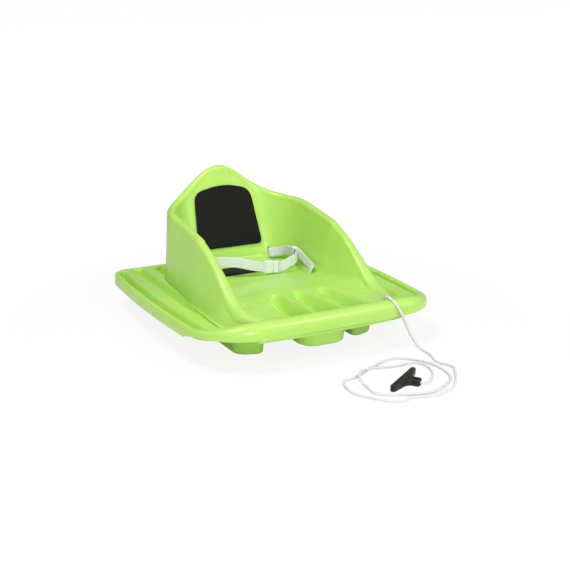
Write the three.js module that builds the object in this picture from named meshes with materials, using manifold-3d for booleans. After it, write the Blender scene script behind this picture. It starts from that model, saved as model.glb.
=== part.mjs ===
import * as THREE from 'three';
import { mergeVertices } from 'three/addons/utils/BufferGeometryUtils.js';
import Module from 'manifold-3d';

const wasm = await Module();
wasm.setup();

// A toddler's pull sled in millimetres: X across, front towards minus Y, Z up from the snow

// Colours
const limeGreen = 0xa8db57;
const padBlack = 0x1c1c1a;
const webbingWhite = 0xe6e6ec;
const buckleWhite = 0xdcdce6;
const handleBlack = 0x151515;
const ropeWhite = 0xf2f2f0;

// Outline of the rim, seen from above
const hullHalfWidth = 240;
const hullLength = 506;
const hullRearY = 250;
const hullFrontY = hullRearY - hullLength;
const frontCornerRadius = 92;
const rearCornerRadius = 30;
const frontBulge = 12;

// Rim band round the flange, which grows into the rolled lip at the front
const wall = 3;
const rimTopZ = 72;
const skirtHeight = 22;
const rimWidth = 11;
const lipRise = 20;
const lipHeight = 30;
const lipWidth = 30;
const rimEdgeRound = 4;
const lipEdgeRound = 10;
const chamferShare = 0.3;
const rimSeamInset = 9.5;

// Ribbed flange between the rim and the bucket
const ridgePitch = 40;
const ridgeTopWidth = 13;
const ridgeSlopeWidth = 7;
const ridgeDepth = 11;

// Bucket wall, from its foot on the flange over the rolled crest to the seat
const footHalfWidth = 189;
const footTaper = 22;
const footFrontY = -239;
const footRearY = 226;
const footFrontRadius = 62;
const footRearRadius = 122;
const footZ = 58;
const crestHalfWidth = 145;
const crestFrontY = -232;
const crestRearY = 241;
const crestFrontRadius = 60;
const crestRearRadius = 118;
const crestRoll = 9;
const seatHalfWidth = 108;
const seatFrontY = -221;
const seatRearY = 165;
const seatFrontRadius = 36;
const seatRearRadius = 45;
const seatFootZ = 54;
const humpRise = 70;
const humpHalfWidth = 76;
const wallShares = [0.12, 0.55];
const wallLeanShare = 0.8;
const rollSteps = 4;

// Crest heights along the side, from the lip to the back
const crestStations = [
  [crestFrontY, 91],
  [-190, 90],
  [-157, 94],
  [-136, 103],
  [-108, 120],
  [-73, 144],
  [-39, 165],
  [4, 182],
  [72, 193],
  [143, 202],
  [crestRearY, 201],
];

// Seat floor and the grooves of the footwell
const floorZ = 76;
const floorFrontRise = 9;
const grooveCount = 3;
const groovePitch = 60;
const grooveTopWidth = 52;
const grooveBottomWidth = 26;
const grooveDepth = 27;
const grooveStartY = -78;
const grooveFullY = -150;
const grooveSteps = 6;
const floorSeamInset = 1.5;

// Underside with its three runners
const panZ = 38;
const panShoulderZ = 50;
const panTopZ = 66;
const panInset = 34;
const panFrontInset = 44;
const panShoulderInset = 10;
const traySeamInset = 1.5;
const runnerRearY = 196;
const outerRunnerX = 119;
const outerRunnerFrontY = -150;
const outerRunnerHalfWidth = 24;
const outerRunnerCorner = 17;
const outerRunnerSlantShare = 0.35;
const centreRunnerZ = 21;
const centreRunnerFrontY = -219;
const centreRunnerHalfWidth = 37;
const centreRunnerCorner = 24;
const runnerDraft = 5;
const runnerFootInset = 3.5;
const runnerEdgeRise = 3.5;
const runnerEdgeOut = 2.3;
const ventDiameter = 12;
const ventReach = 36;
const ventSides = 12;

// Pads
const padThickness = 4;
const padGap = 0.3;
const backPadGap = 1.1;
const backPadTopHalfWidth = 64;
const backPadBottomHalfWidth = 73;
const backPadBottomZ = 107;
const backPadTopZ = 222;
const padCorner = 12;
const padCrown = 1;
const padRingShares = [0.35, 0.7, 0.97];
const backPadArch = 16;
const backPadArchRound = 44;
const backPadTopCorner = 17;
const seatPadFrontHalfWidth = 100;
const seatPadRearHalfWidth = 58;
const seatPadFrontY = 86;
const seatPadRearY = 130;

// Belt
const fitGap = 0.35;
const webbingWidth = 20;
const webbingThickness = 1.4;
const strapStep = 4;
const strapClearOfWall = 8;
const slotZ = 87.3;
const slotHeight = 21;
const slotWidth = 4;
const slotReach = 16;
const slotArcShare = 0.66;
const anchorDiameter = 7;
const anchorLength = 30;
const anchorSides = 12;

// Buckle
const buckleX = 30;
const buckleY = 57;
const buckleZ = 93;
const buckleTilt = 6 * (Math.PI / 180);
const buckleTurn = -3 * (Math.PI / 180);
const blockEdgeRound = 0.8;
const socketLength = 21;
const socketHeight = 25;
const socketThickness = 9;
const socketWall = 1.8;
const socketCorner = 4;
const plugLength = 13;
const plugHeight = 24;
const plugThickness = 8;
const plugCorner = 3;
const prongLength = 15;
const prongHeight = 5;
const prongThickness = 3;
const prongRoot = 2;
const strapPocketDepth = 5;

// Slider
const sliderLength = 11;
const sliderHeight = 26;
const sliderWall = 2;
const sliderCorner = 2;
const layerGap = 0.5;
const sliderPlace = [11.8, 84, 107];
const sliderDirection = [0.2, 0.97, 0.06];

// Places that each strap passes between its ends; X on the right side is from the slot, like the slider's
const leftWay = [[-12, 60, 100], [-38, 70, 106.5], [-66, 88, 107.5], [-88, 116, 103]];
const rightWayShares = [0.34, 0.67, 0.9];
const rightWay = [[54, 92.5], [54, 98], [62, 103.5]];
const tailWay = [
  [15.8, 94.5, 107.5],
  [20.3, 93.5, 107],
  [22.8, 86, 106],
  [24.3, 62, 100],
  [23.3, 42, 94],
  [19.3, 26, 88.5],
];
const backWay = [[12.8, 108, 106], [14.6, 130, 101.5], [11.7, 148, 94.5]];

// Pull rope and its knots
const ropeDiameter = 5;
const ropeSides = 8;
const ropeStepsPerPoint = 2;
const ropeHoleDiameter = 5.8;
const ropeHolePoints = 6;
const knotDiameter = 12;
const handleKnotDiameter = 8;
const knotSides = 10;
const knotRings = 8;

// Route of the pull rope: out of the lip, over the roll, down and round loose loops
const ropeRestZ = 2.7;
const ropePoints = [
  [119.5, -214, 80],
  [119.5, -216, 89],
  [119, -225, 95],
  [119, -237, 95.4],
  [124, -249, 87],
  [132, -256, 70],
  [143, -258, 47],
  [151, -267, 24],
  [158, -283, 8],
  [161.5, -304, 3.8],
  [152, -344, ropeRestZ],
  [162, -374, ropeRestZ],
  [148, -402, ropeRestZ],
  [106, -452, ropeRestZ],
  [62, -467, ropeRestZ],
  [22, -457, ropeRestZ],
  [-4, -461, ropeRestZ],
  [-38, -428, ropeRestZ],
  [-54, -390, ropeRestZ],
  [-41, -346, ropeRestZ],
  [-8, -336, ropeRestZ],
  [26, -316, ropeRestZ],
  [88, -294, ropeRestZ],
  [111, -303, ropeRestZ],
  [137, -346, ropeRestZ],
  [133, -406, ropeRestZ],
  [102, -438, ropeRestZ],
  [62, -453, ropeRestZ],
  [25, -444, ropeRestZ],
  [-22, -415, ropeRestZ],
  [-20, -385, ropeRestZ],
  [-16, -358, 5],
  [-5, -338, 8.4],
  [14, -327, 8.4],
  [73, -327, ropeRestZ],
  [114, -328, ropeRestZ],
  [124, -350, ropeRestZ],
  [113, -384, ropeRestZ],
  [95, -406, 3.4],
  [80, -418.5, 5],
];

// Pull handle
const handlePlace = [49.6, -393, 0];
const handleTurn = -55.8 * (Math.PI / 180);
const handleThickness = 12;
const handleEdgeRound = 1.6;
const barLength = 96;
const barEndDepth = 9;
const barMiddleDepth = 15;
const barCorner = 3;
const stemLength = 21;
const stemWidth = 16;
const stemShoulder = 6;
const stemCorner = 5;
const handleBore = 6.4;
const drillLength = 15;
const boreSides = 12;
const boreLength = 5;
const ropeLeadIn = 4;
const pocketLength = 12;
const pocketWidth = 10;
const pocketDepth = 10.6;

// Points round half of a loop: front, front corner, side, rear corner and rear
const frontSteps = 4;
const cornerSteps = 6;
const sideSteps = 12;
const hullSteps = [frontSteps, cornerSteps, sideSteps];
const runnerSteps = [1, 4, 1];
const cutOverrun = 6;
const bevelSegments = 2;
const curveSegments = 4;
const legShare = 0.6;
const upright = new THREE.Vector3(0, 0, 1);

// Loop helpers

function mix(a, b, share) {
  return a + (b - a) * share;
}

function smooth(share) {
  const t = Math.min(Math.max(share, 0), 1);
  return t * t * (3 - 2 * t);
}

// A rounded rectangle as points from the front centre round the right side and back
function roundedLoop(halfWidth, frontY, rearY, frontRadius, rearRadius, bulge, steps = hullSteps) {
  const [ends, corners, sides] = steps;
  const half = [];
  const quarter = Math.PI / 2;
  for (let i = 0; i < ends; i += 1) {
    half.push([(halfWidth - frontRadius) * (i / ends), frontY]);
  }
  for (let i = 0; i < corners; i += 1) {
    const a = quarter * (i / corners);
    const [out, back] = [frontRadius * Math.sin(a), frontRadius * Math.cos(a)];
    half.push([halfWidth - frontRadius + out, frontY + frontRadius - back]);
  }
  for (let i = 0; i < sides; i += 1) {
    half.push([halfWidth, mix(frontY + frontRadius, rearY - rearRadius, i / sides)]);
  }
  for (let i = 0; i < corners; i += 1) {
    const a = quarter * (i / corners);
    const [out, back] = [rearRadius * Math.cos(a), rearRadius * Math.sin(a)];
    half.push([halfWidth - rearRadius + out, rearY - rearRadius + back]);
  }
  for (let i = 0; i <= ends; i += 1) {
    half.push([(halfWidth - rearRadius) * (1 - i / ends), rearY]);
  }
  const middle = (frontY + rearY) / 2;
  const bulged = half.map(([x, y]) => {
    const share = 1 - (x / halfWidth) ** 2;
    return [x, y < middle ? y + bulge - bulge * share : y];
  });
  const mirrored = bulged.slice(1, -1).reverse().map(([x, y]) => [-x, y]);
  return bulged.concat(mirrored);
}

// Outward normals of a loop in plan
function loopNormals(loop) {
  return loop.map((point, i) => {
    const before = loop[(i + loop.length - 1) % loop.length];
    const after = loop[(i + 1) % loop.length];
    const dx = after[0] - before[0];
    const dy = after[1] - before[1];
    const length = Math.hypot(dx, dy);
    return [dy / length, -dx / length];
  });
}

// How much of the front lip a column of the loop has, from 0 at the side to 1 at the front
function frontShare(column, count) {
  const k = Math.min(column, count - column);
  if (k <= frontSteps) {
    return 1;
  }
  return 1 - smooth((k - frontSteps) / cornerSteps);
}

function hullOutline(inset) {
  return roundedLoop(
    hullHalfWidth - inset, hullFrontY + inset, hullRearY - inset,
    frontCornerRadius - inset, Math.max(rearCornerRadius - inset, rimEdgeRound), frontBulge,
  );
}

// The foot narrows towards the rear
function footLoop(inset) {
  const loop = roundedLoop(
    footHalfWidth - inset, footFrontY + inset, footRearY - inset,
    footFrontRadius - inset, footRearRadius - inset, frontBulge,
  );
  return loop.map(([x, y]) => [x * (1 - footNarrowing(y)), y]);
}

function footNarrowing(y) {
  return footTaper * (y - footFrontY) / (footRearY - footFrontY) / footHalfWidth;
}

function crestLoop() {
  return roundedLoop(
    crestHalfWidth, crestFrontY, crestRearY, crestFrontRadius, crestRearRadius, frontBulge,
  );
}

function seatLoop() {
  return roundedLoop(
    seatHalfWidth, seatFrontY, seatRearY, seatFrontRadius, seatRearRadius, frontBulge,
  );
}

// Height of the crest's top at a place on the crest loop
function crestTopZ(x, y) {
  let k = 0;
  while (k < crestStations.length - 2 && y > crestStations[k + 1][0]) {
    k += 1;
  }
  const [y0, z0] = crestStations[k];
  const [y1, z1] = crestStations[k + 1];
  const share = Math.min(Math.max((y - y0) / (y1 - y0), 0), 1);
  const hump = y > 0 ? humpRise * Math.exp(-((x / humpHalfWidth) ** 2)) : 0;
  return mix(z0, z1, share) + hump;
}

// Solid helpers

function solidFromArrays(positions, indices) {
  const geometry = new THREE.BufferGeometry();
  geometry.setAttribute('position', new THREE.Float32BufferAttribute(positions, 3));
  geometry.setIndex(indices);
  return solidFromGeometry(geometry);
}

function solidFromGeometry(geometry) {
  const bare = geometry.clone();
  bare.deleteAttribute('normal');
  bare.deleteAttribute('uv');
  const merged = mergeVertices(bare);
  const mesh = new wasm.Mesh({
    numProp: 3,
    vertProperties: new Float32Array(merged.attributes.position.array),
    triVerts: new Uint32Array(merged.index.array),
  });
  return new wasm.Manifold(mesh);
}

function geometryFromSolid(solid) {
  const mesh = solid.getMesh();
  const geometry = new THREE.BufferGeometry();
  geometry.setAttribute('position', new THREE.BufferAttribute(new Float32Array(mesh.vertProperties), 3));
  geometry.setIndex(new THREE.BufferAttribute(new Uint32Array(mesh.triVerts), 1));
  geometry.computeVertexNormals();
  return geometry;
}

// A closed band from sections that each run round the same closed outline
function closedBand(sections) {
  const count = sections.length;
  const size = sections[0].length;
  const positions = sections.flat(2);
  const indices = [];
  for (let i = 0; i < count; i += 1) {
    const next = (i + 1) % count;
    for (let j = 0; j < size; j += 1) {
      const over = (j + 1) % size;
      const a = i * size + j;
      const b = next * size + j;
      const c = next * size + over;
      const d = i * size + over;
      indices.push(a, b, c, a, c, d);
    }
  }
  return solidFromArrays(positions, indices);
}

// A solid of stacked loops, closed by a fan at the bottom and at the top
function stackedSolid(levels) {
  const size = levels[0].length;
  const positions = levels.flat(2);
  const indices = [];
  for (let i = 0; i < levels.length - 1; i += 1) {
    for (let j = 0; j < size; j += 1) {
      const over = (j + 1) % size;
      const a = i * size + j;
      const b = i * size + over;
      const c = (i + 1) * size + over;
      const d = (i + 1) * size + j;
      indices.push(a, b, c, a, c, d);
    }
  }
  const ends = [0, levels.length - 1].map((k) => {
    const centre = [0, 1, 2].map((axis) => levels[k].reduce((sum, p) => sum + p[axis], 0) / size);
    positions.push(...centre);
    return positions.length / 3 - 1;
  });
  const top = (levels.length - 1) * size;
  for (let j = 0; j < size; j += 1) {
    const over = (j + 1) % size;
    indices.push(ends[0], over, j);
    indices.push(ends[1], top + j, top + over);
  }
  return solidFromArrays(positions, indices);
}

// A sheet over a grid of places, with its upper face at the given height
function sheetSolid(columns, rows, heightAt, thickness) {
  const positions = [];
  [0, thickness].forEach((drop) => {
    rows.forEach((y) => columns.forEach((x) => positions.push(x, y, heightAt(x, y) - drop)));
  });
  const indices = [];
  const quad = (a, b, c, d) => indices.push(a, b, c, a, c, d);
  const under = columns.length * rows.length;
  const at = (i, j) => j * columns.length + i;
  for (let j = 0; j < rows.length - 1; j += 1) {
    for (let i = 0; i < columns.length - 1; i += 1) {
      quad(at(i, j), at(i + 1, j), at(i + 1, j + 1), at(i, j + 1));
      quad(under + at(i, j), under + at(i, j + 1), under + at(i + 1, j + 1), under + at(i + 1, j));
    }
  }
  const right = columns.length - 1;
  const back = rows.length - 1;
  for (let i = 0; i < right; i += 1) {
    quad(at(i + 1, 0), at(i, 0), under + at(i, 0), under + at(i + 1, 0));
    quad(at(i, back), at(i + 1, back), under + at(i + 1, back), under + at(i, back));
  }
  for (let j = 0; j < back; j += 1) {
    quad(at(0, j), at(0, j + 1), under + at(0, j + 1), under + at(0, j));
    quad(at(right, j + 1), at(right, j), under + at(right, j), under + at(right, j + 1));
  }
  return solidFromArrays(positions, indices);
}

function levelAt(loop, z) {
  return loop.map(([x, y]) => [x, y, z]);
}

function prism(loop, z0, z1) {
  return stackedSolid([levelAt(loop, z0), levelAt(loop, z1)]);
}

function vector(point) {
  return new THREE.Vector3(...point);
}

function shift(x, y, z) {
  return new THREE.Matrix4().makeTranslation(x, y, z);
}

function placed(geometry, matrix) {
  return geometry.clone().applyMatrix4(matrix);
}

function boxSolid(width, depth, height, matrix) {
  return solidFromGeometry(placed(new THREE.BoxGeometry(width, depth, height), matrix));
}

// Hull

// The rim is an upturned channel that is taller, wider and higher at the front lip
// Its outer edge steps up where the front corners start
function rimBand() {
  const outer = hullOutline(0);
  const normals = loopNormals(outer);
  const sections = outer.map(([x, y], i) => {
    const share = frontShare(i, outer.length);
    const top = rimTopZ + lipRise * share;
    const bottom = top - mix(skirtHeight, lipHeight, share);
    const edge = share > 0 ? rimTopZ + lipRise - lipHeight : bottom;
    const width = mix(rimWidth, lipWidth, share);
    const round = mix(rimEdgeRound, lipEdgeRound, share);
    const chamfer = round * chamferShare;
    const profile = [
      [0, edge],
      [0, top - round],
      [chamfer, top - chamfer],
      [round, top],
      [width - round, top],
      [width - chamfer, top - chamfer],
      [width, top - round],
      [width, bottom + wall],
      [width - wall, bottom + wall],
      [width - wall, top - round],
      [width - round, top - wall],
      [round, top - wall],
      [wall, top - round],
      [wall, edge],
    ];
    return profile.map(([inset, z]) => [x - normals[i][0] * inset, y - normals[i][1] * inset, z]);
  });
  return closedBand(sections);
}

// The flange is a corrugated sheet whose ridges run from front to rear
function flangeSheet() {
  const ridges = Math.floor(hullHalfWidth / ridgePitch) - 1;
  const halfTop = ridgeTopWidth / 2;
  const top = [];
  for (let k = -ridges; k <= ridges; k += 1) {
    const x = k * ridgePitch;
    top.push([x - halfTop - ridgeSlopeWidth, rimTopZ - ridgeDepth]);
    top.push([x - halfTop, rimTopZ]);
    top.push([x + halfTop, rimTopZ]);
    top.push([x + halfTop + ridgeSlopeWidth, rimTopZ - ridgeDepth]);
  }
  top.unshift([-hullHalfWidth, rimTopZ - ridgeDepth]);
  top.push([hullHalfWidth, rimTopZ - ridgeDepth]);
  const shape = new THREE.Shape();
  shape.moveTo(...top[0]);
  top.slice(1).forEach(([x, z]) => shape.lineTo(x, z));
  top.slice().reverse().forEach(([x, z]) => shape.lineTo(x, z - wall));
  const length = hullRearY - hullFrontY;
  const geometry = new THREE.ExtrudeGeometry(shape, { depth: length, bevelEnabled: false });
  geometry.rotateX(Math.PI / 2);
  geometry.translate(0, hullRearY, 0);
  const region = prism(hullOutline(rimSeamInset), footZ - cutOverrun, rimTopZ + cutOverrun);
  const bucket = prism(footLoop(wall * legShare), footZ - cutOverrun * 2, rimTopZ + cutOverrun * 2);
  return solidFromGeometry(geometry).intersect(region).subtract(bucket);
}

// The bucket's wall is hollow: an outer leg, a rolled crest and an inner leg
function bucketWall() {
  const foot = footLoop(0);
  const crest = crestLoop();
  const seat = seatLoop();
  const normals = loopNormals(crest);
  const backShares = wallShares.slice().reverse();
  const sections = foot.map(([fx, fy], i) => {
    const [cx, cy] = crest[i];
    const [sx, sy] = seat[i];
    const [nx, ny] = normals[i];
    const centreZ = crestTopZ(cx, cy) - crestRoll;
    const out = (px, py, z, d) => [px + nx * d, py + ny * d, z];
    const outer = (share, d) => {
      const lean = share ** wallLeanShare;
      const [ox, oy] = [cx + nx * crestRoll, cy + ny * crestRoll];
      return out(mix(fx, ox, lean), mix(fy, oy, lean), mix(footZ, centreZ, share), -d);
    };
    const inner = (share, d) => {
      const [ix, iy] = [cx - nx * crestRoll, cy - ny * crestRoll];
      return out(mix(ix, sx, share), mix(iy, sy, share), mix(centreZ, seatFootZ, share), d);
    };
    const roll = (radius, reverse) => Array.from({ length: rollSteps + 1 }, (unused, k) => {
      const a = Math.PI * ((reverse ? rollSteps - k : k) / rollSteps);
      return out(cx, cy, centreZ + radius * Math.sin(a), radius * Math.cos(a));
    });
    return [
      outer(0, 0),
      ...wallShares.map((share) => outer(share, 0)),
      ...roll(crestRoll, false),
      ...wallShares.map((share) => inner(share, 0)),
      inner(1, 0),
      inner(1, wall),
      ...backShares.map((share) => inner(share, wall)),
      ...roll(crestRoll - wall, true),
      ...backShares.map((share) => outer(share, wall)),
      outer(0, wall),
    ];
  });
  return closedBand(sections);
}

// Height of the seat floor's upper face, with the grooves that run out at the lip
function floorHeight(x, y) {
  const rise = floorFrontRise * smooth((seatPadFrontY - y) / (seatPadFrontY - seatFrontY));
  const deep = grooveDepth * smooth((grooveStartY - y) / (grooveStartY - grooveFullY));
  const half = (grooveCount - 1) / 2;
  const nearest = Math.min(Math.max(Math.round(x / groovePitch), -half), half) * groovePitch;
  const slope = (grooveTopWidth - grooveBottomWidth) / 2;
  const share = Math.min(Math.max((grooveTopWidth / 2 - Math.abs(x - nearest)) / slope, 0), 1);
  return floorZ + rise - deep * share;
}

function floorColumns() {
  const half = (grooveCount - 1) / 2;
  const columns = [-crestHalfWidth, crestHalfWidth];
  for (let k = -half; k <= half; k += 1) {
    const middle = k * groovePitch;
    [grooveTopWidth, grooveBottomWidth].forEach((width) => {
      columns.push(middle - width / 2, middle + width / 2);
    });
  }
  return columns.sort((a, b) => a - b);
}

function floorRows() {
  const rows = [seatRearY + crestRoll * 2, seatPadRearY, seatPadFrontY];
  rows.push(mix(seatPadFrontY, grooveStartY, 1 / 2));
  for (let k = 0; k <= grooveSteps; k += 1) {
    rows.push(mix(grooveStartY, grooveFullY, k / grooveSteps));
  }
  rows.push(mix(grooveFullY, seatFrontY, 1 / 2), seatFrontY - crestRoll);
  return rows.reverse();
}

function seatFloor() {
  const slab = sheetSolid(floorColumns(), floorRows(), floorHeight, wall);
  const clip = [seatFootZ - cutOverrun, crestTopZ(0, 0)].map((z) => innerLoop(z, floorSeamInset));
  return slab.intersect(stackedSolid(clip));
}

// The inner wall's loop at a height, moved out into the wall by the given distance
function innerLoop(z, outset) {
  const seat = seatLoop();
  const crest = crestLoop();
  const normals = loopNormals(crest);
  return seat.map(([sx, sy], i) => {
    const centreZ = crestTopZ(...crest[i]) - crestRoll;
    const share = (centreZ - z) / (centreZ - seatFootZ);
    const [nx, ny] = normals[i];
    const ix = crest[i][0] - nx * crestRoll;
    const iy = crest[i][1] - ny * crestRoll;
    return [mix(ix, sx, share) + nx * outset, mix(iy, sy, share) + ny * outset, z];
  });
}

// Depth of the rear inner wall at a place across it and a height
function rearWallY(x, z) {
  const [first, last] = [frontSteps + cornerSteps + sideSteps, frontSteps + cornerSteps];
  const half = innerLoop(z, 0).slice(first, first + last + 1);
  const k = Math.max(half.findIndex(([px]) => px <= Math.abs(x)), 1);
  const [[x0, y0], [x1, y1]] = [half[k - 1], half[k]];
  return mix(y0, y1, (x0 - Math.abs(x)) / (x0 - x1));
}

// The underside is a tray with three runners, all of the same wall
// The outer runners carry the sled, and the centre one is shallower and reaches further forward
function trayForm(inset) {
  const topZ = panTopZ + (inset > 0 ? cutOverrun : 0);
  const low = roundedLoop(
    footHalfWidth - panInset - inset, footFrontY + panFrontInset + inset, footRearY - panInset - inset,
    footFrontRadius - inset, footRearRadius - panInset - inset, frontBulge,
  );
  const tray = stackedSolid([
    levelAt(low, panZ + inset),
    levelAt(footLoop(panShoulderInset + inset), panShoulderZ + inset),
    levelAt(footLoop(traySeamInset + inset), topZ),
  ]);
  const runners = [-outerRunnerX, 0, outerRunnerX].map((x) => runnerForm(x, inset));
  return runners.reduce((solid, runner) => solid.add(runner), tray);
}

function runnerForm(x, inset) {
  const outer = x !== 0;
  const base = outer ? outerRunnerHalfWidth : centreRunnerHalfWidth;
  const frontY = outer ? outerRunnerFrontY : centreRunnerFrontY;
  const corner = outer ? outerRunnerCorner : centreRunnerCorner;
  const lowZ = (outer ? 0 : centreRunnerZ) + inset;
  const highZ = (outer ? panZ : panShoulderZ) + wall + inset;
  const loop = (grow) => roundedLoop(
    base + grow - inset, frontY - grow + inset, runnerRearY + grow - inset,
    corner + grow - inset, corner + grow - inset, 0, runnerSteps,
  ).map(([px, py]) => [px + x, py + runnerSlant(x, px, py)]);
  return stackedSolid([
    levelAt(loop(-runnerFootInset), lowZ),
    levelAt(loop(runnerEdgeOut), lowZ + runnerEdgeRise),
    levelAt(loop(runnerDraft), highZ),
  ]);
}

// An outer runner's front is set back towards its outer side
function runnerSlant(x, px, py) {
  return py < 0 ? outerRunnerSlantShare * Math.sign(x) * px : 0;
}

function tray() {
  const hollow = trayForm(0).subtract(trayForm(wall));
  const drill = new THREE.CylinderGeometry(ventDiameter / 2, ventDiameter / 2, ventReach, ventSides);
  const vents = [-outerRunnerX, outerRunnerX].map((x) => {
    const turn = shift(x, runnerRearY, panZ / 2);
    return solidFromGeometry(placed(drill, turn));
  });
  return vents.reduce((solid, vent) => solid.subtract(vent), hollow);
}

// Frame of a belt slot on the inner wall: X out through the wall, Z up its slope
function slotFrame(side) {
  const crest = crestLoop();
  const column = frontSteps + cornerSteps + sideSteps + Math.round(cornerSteps * slotArcShare);
  const [nx, ny] = loopNormals(crest)[column];
  const [cx, cy] = crest[column];
  const [sx, sy] = seatLoop()[column];
  const top = new THREE.Vector3(cx - nx * crestRoll, cy - ny * crestRoll, crestTopZ(cx, cy) - crestRoll);
  const foot = new THREE.Vector3(sx, sy, seatFootZ);
  const share = (slotZ - foot.z) / (top.z - foot.z);
  const point = foot.clone().lerp(top, share);
  const rise = top.clone().sub(foot).normalize();
  const level = new THREE.Vector3(-ny, nx, 0);
  const out = new THREE.Vector3().crossVectors(level, rise);
  const mirror = new THREE.Vector3(side, 1, 1);
  [point, rise, out].forEach((v) => v.multiply(mirror));
  const across = new THREE.Vector3().crossVectors(rise, out);
  return new THREE.Matrix4().makeBasis(out, across, rise).setPosition(point);
}

function beltSlot(side) {
  return boxSolid(slotReach, slotWidth, slotHeight, slotFrame(side));
}

// The rope's way through the lip: a hole and a shallow saddle over the roll
function ropeWay() {
  return solidFromGeometry(tubeGeometry(ropePoints.slice(0, ropeHolePoints).map(vector), ropeHoleDiameter));
}

function hullSolid() {
  const pieces = [flangeSheet(), bucketWall(), seatFloor(), tray()];
  const joined = pieces.reduce((solid, piece) => solid.add(piece), rimBand());
  const cuts = [beltSlot(-1), beltSlot(1), ropeWay()];
  return cuts.reduce((solid, cut) => solid.subtract(cut), joined);
}

// Outlines

// A closed outline whose corners are each rounded by their own radius
function roundedShape(corners) {
  const shape = new THREE.Shape();
  corners.forEach(([x, y, radius], i) => {
    const before = corners[(i + corners.length - 1) % corners.length];
    const after = corners[(i + 1) % corners.length];
    const toward = ([tx, ty]) => {
      const share = radius / Math.hypot(tx - x, ty - y);
      return [mix(x, tx, share), mix(y, ty, share)];
    };
    if (i === 0) {
      shape.moveTo(...toward(before));
    } else {
      shape.lineTo(...toward(before));
    }
    shape.quadraticCurveTo(x, y, ...toward(after));
  });
  shape.closePath();
  return shape;
}

// A slab of an outline with all its edges rounded, its lower face at zero
function roundedSlab(shape, thickness, round) {
  const geometry = new THREE.ExtrudeGeometry(shape, {
    depth: thickness - round * 2,
    bevelEnabled: true,
    bevelThickness: round,
    bevelSize: round,
    bevelOffset: -round,
    bevelSegments,
    curveSegments,
  });
  return geometry.translate(0, 0, round);
}

// Pads


// The back pad follows the curve of the rear wall, in rings from its middle to its edge and back
function backPad() {
  const low = new THREE.Vector3(0, rearWallY(0, backPadBottomZ), backPadBottomZ);
  const high = new THREE.Vector3(0, rearWallY(0, backPadTopZ), backPadTopZ);
  const up = high.sub(low).normalize();
  const out = new THREE.Vector3().crossVectors(new THREE.Vector3(1, 0, 0), up);
  const outline = roundedShape([
    [-backPadBottomHalfWidth, backPadBottomZ, padCorner],
    [backPadBottomHalfWidth, backPadBottomZ, padCorner],
    [backPadTopHalfWidth, backPadTopZ, backPadTopCorner],
    [0, backPadTopZ + backPadArch, backPadArchRound],
    [-backPadTopHalfWidth, backPadTopZ, backPadTopCorner],
  ]).getPoints(curveSegments).slice(1);
  const middleZ = (backPadBottomZ + backPadTopZ) / 2;
  const ring = (share, away) => outline.map(({ x, y }) => {
    const [px, pz] = [x * share, mix(middleZ, y, share)];
    const point = new THREE.Vector3(px, rearWallY(px, pz), pz).addScaledVector(out, backPadGap + away);
    return point.toArray();
  });
  const backRings = padRingShares.map((share) => ring(share, 0));
  const edgeRings = [padCrown, padThickness - padCrown].map((away) => ring(1, away));
  const faceRings = padRingShares.map((share) => ring(share, padThickness)).reverse();
  return geometryFromSolid(stackedSolid([...backRings, ...edgeRings, ...faceRings]));
}

function seatPad() {
  const length = seatPadRearY - seatPadFrontY;
  const outline = roundedShape([
    [-seatPadFrontHalfWidth, 0, padCorner],
    [seatPadFrontHalfWidth, 0, padCorner],
    [seatPadRearHalfWidth, length, padCorner],
    [-seatPadRearHalfWidth, length, padCorner],
  ]);
  const pad = roundedSlab(outline, padThickness, padCrown);
  return placed(pad, shift(0, seatPadFrontY, floorZ + padGap));
}

// Webbing

// A flat strap along points: its width starts upright and leans to a direction at its end
function strapGeometry(points, endLean = upright) {
  const curve = new THREE.CatmullRomCurve3(points);
  const steps = Math.ceil(curve.getLength() / strapStep);
  const positions = [];
  for (let i = 0; i <= steps; i += 1) {
    const middle = curve.getPointAt(i / steps);
    const along = curve.getTangentAt(i / steps);
    const across = upright.clone().lerp(endLean, (i / steps) ** 2);
    across.addScaledVector(along, -along.dot(across)).normalize();
    const face = new THREE.Vector3().crossVectors(across, along);
    [[-1, -1], [1, -1], [1, 1], [-1, 1]].forEach(([a, b]) => {
      const corner = middle.clone();
      corner.addScaledVector(face, a * (webbingThickness / 2));
      corner.addScaledVector(across, b * (webbingWidth / 2));
      positions.push(corner.x, corner.y, corner.z);
    });
  }
  const indices = [];
  for (let i = 0; i < steps; i += 1) {
    for (let j = 0; j < 4; j += 1) {
      const over = (j + 1) % 4;
      const a = i * 4 + j;
      const b = i * 4 + over;
      indices.push(a, b, b + 4, a, b + 4, a + 4);
    }
  }
  const last = steps * 4;
  indices.push(0, 2, 1, 0, 3, 2, last, last + 1, last + 2, last, last + 2, last + 3);
  const geometry = new THREE.BufferGeometry();
  geometry.setAttribute('position', new THREE.Float32BufferAttribute(positions, 3));
  geometry.setIndex(indices);
  geometry.computeVertexNormals();
  return geometry;
}

// A point given in a frame's own directions
function pointIn(frame, along, across = 0, up = 0) {
  return new THREE.Vector3(along, across, up).applyMatrix4(frame);
}

function upOf(frame) {
  return new THREE.Vector3().setFromMatrixColumn(frame, 2);
}

// The anchor is a bar behind the slot that is longer than the slot is tall
const anchorDepth = wall + fitGap + anchorDiameter / 2;

function anchorGeometry(side) {
  const radius = anchorDiameter / 2;
  const bar = new THREE.CylinderGeometry(radius, radius, anchorLength, anchorSides);
  bar.rotateX(Math.PI / 2);
  return placed(bar, pointFrame(slotFrame(side), anchorDepth));
}

function pointFrame(frame, along, across = 0, up = 0) {
  return frame.clone().multiply(shift(along, across, up));
}

// Points from the strap's end at its anchor to clear of the inner wall
function slotPoints(side) {
  const frame = slotFrame(side);
  const start = anchorDepth - anchorDiameter / 2 - fitGap;
  return [start, 0, -strapClearOfWall].map((along) => pointIn(frame, along));
}

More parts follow.
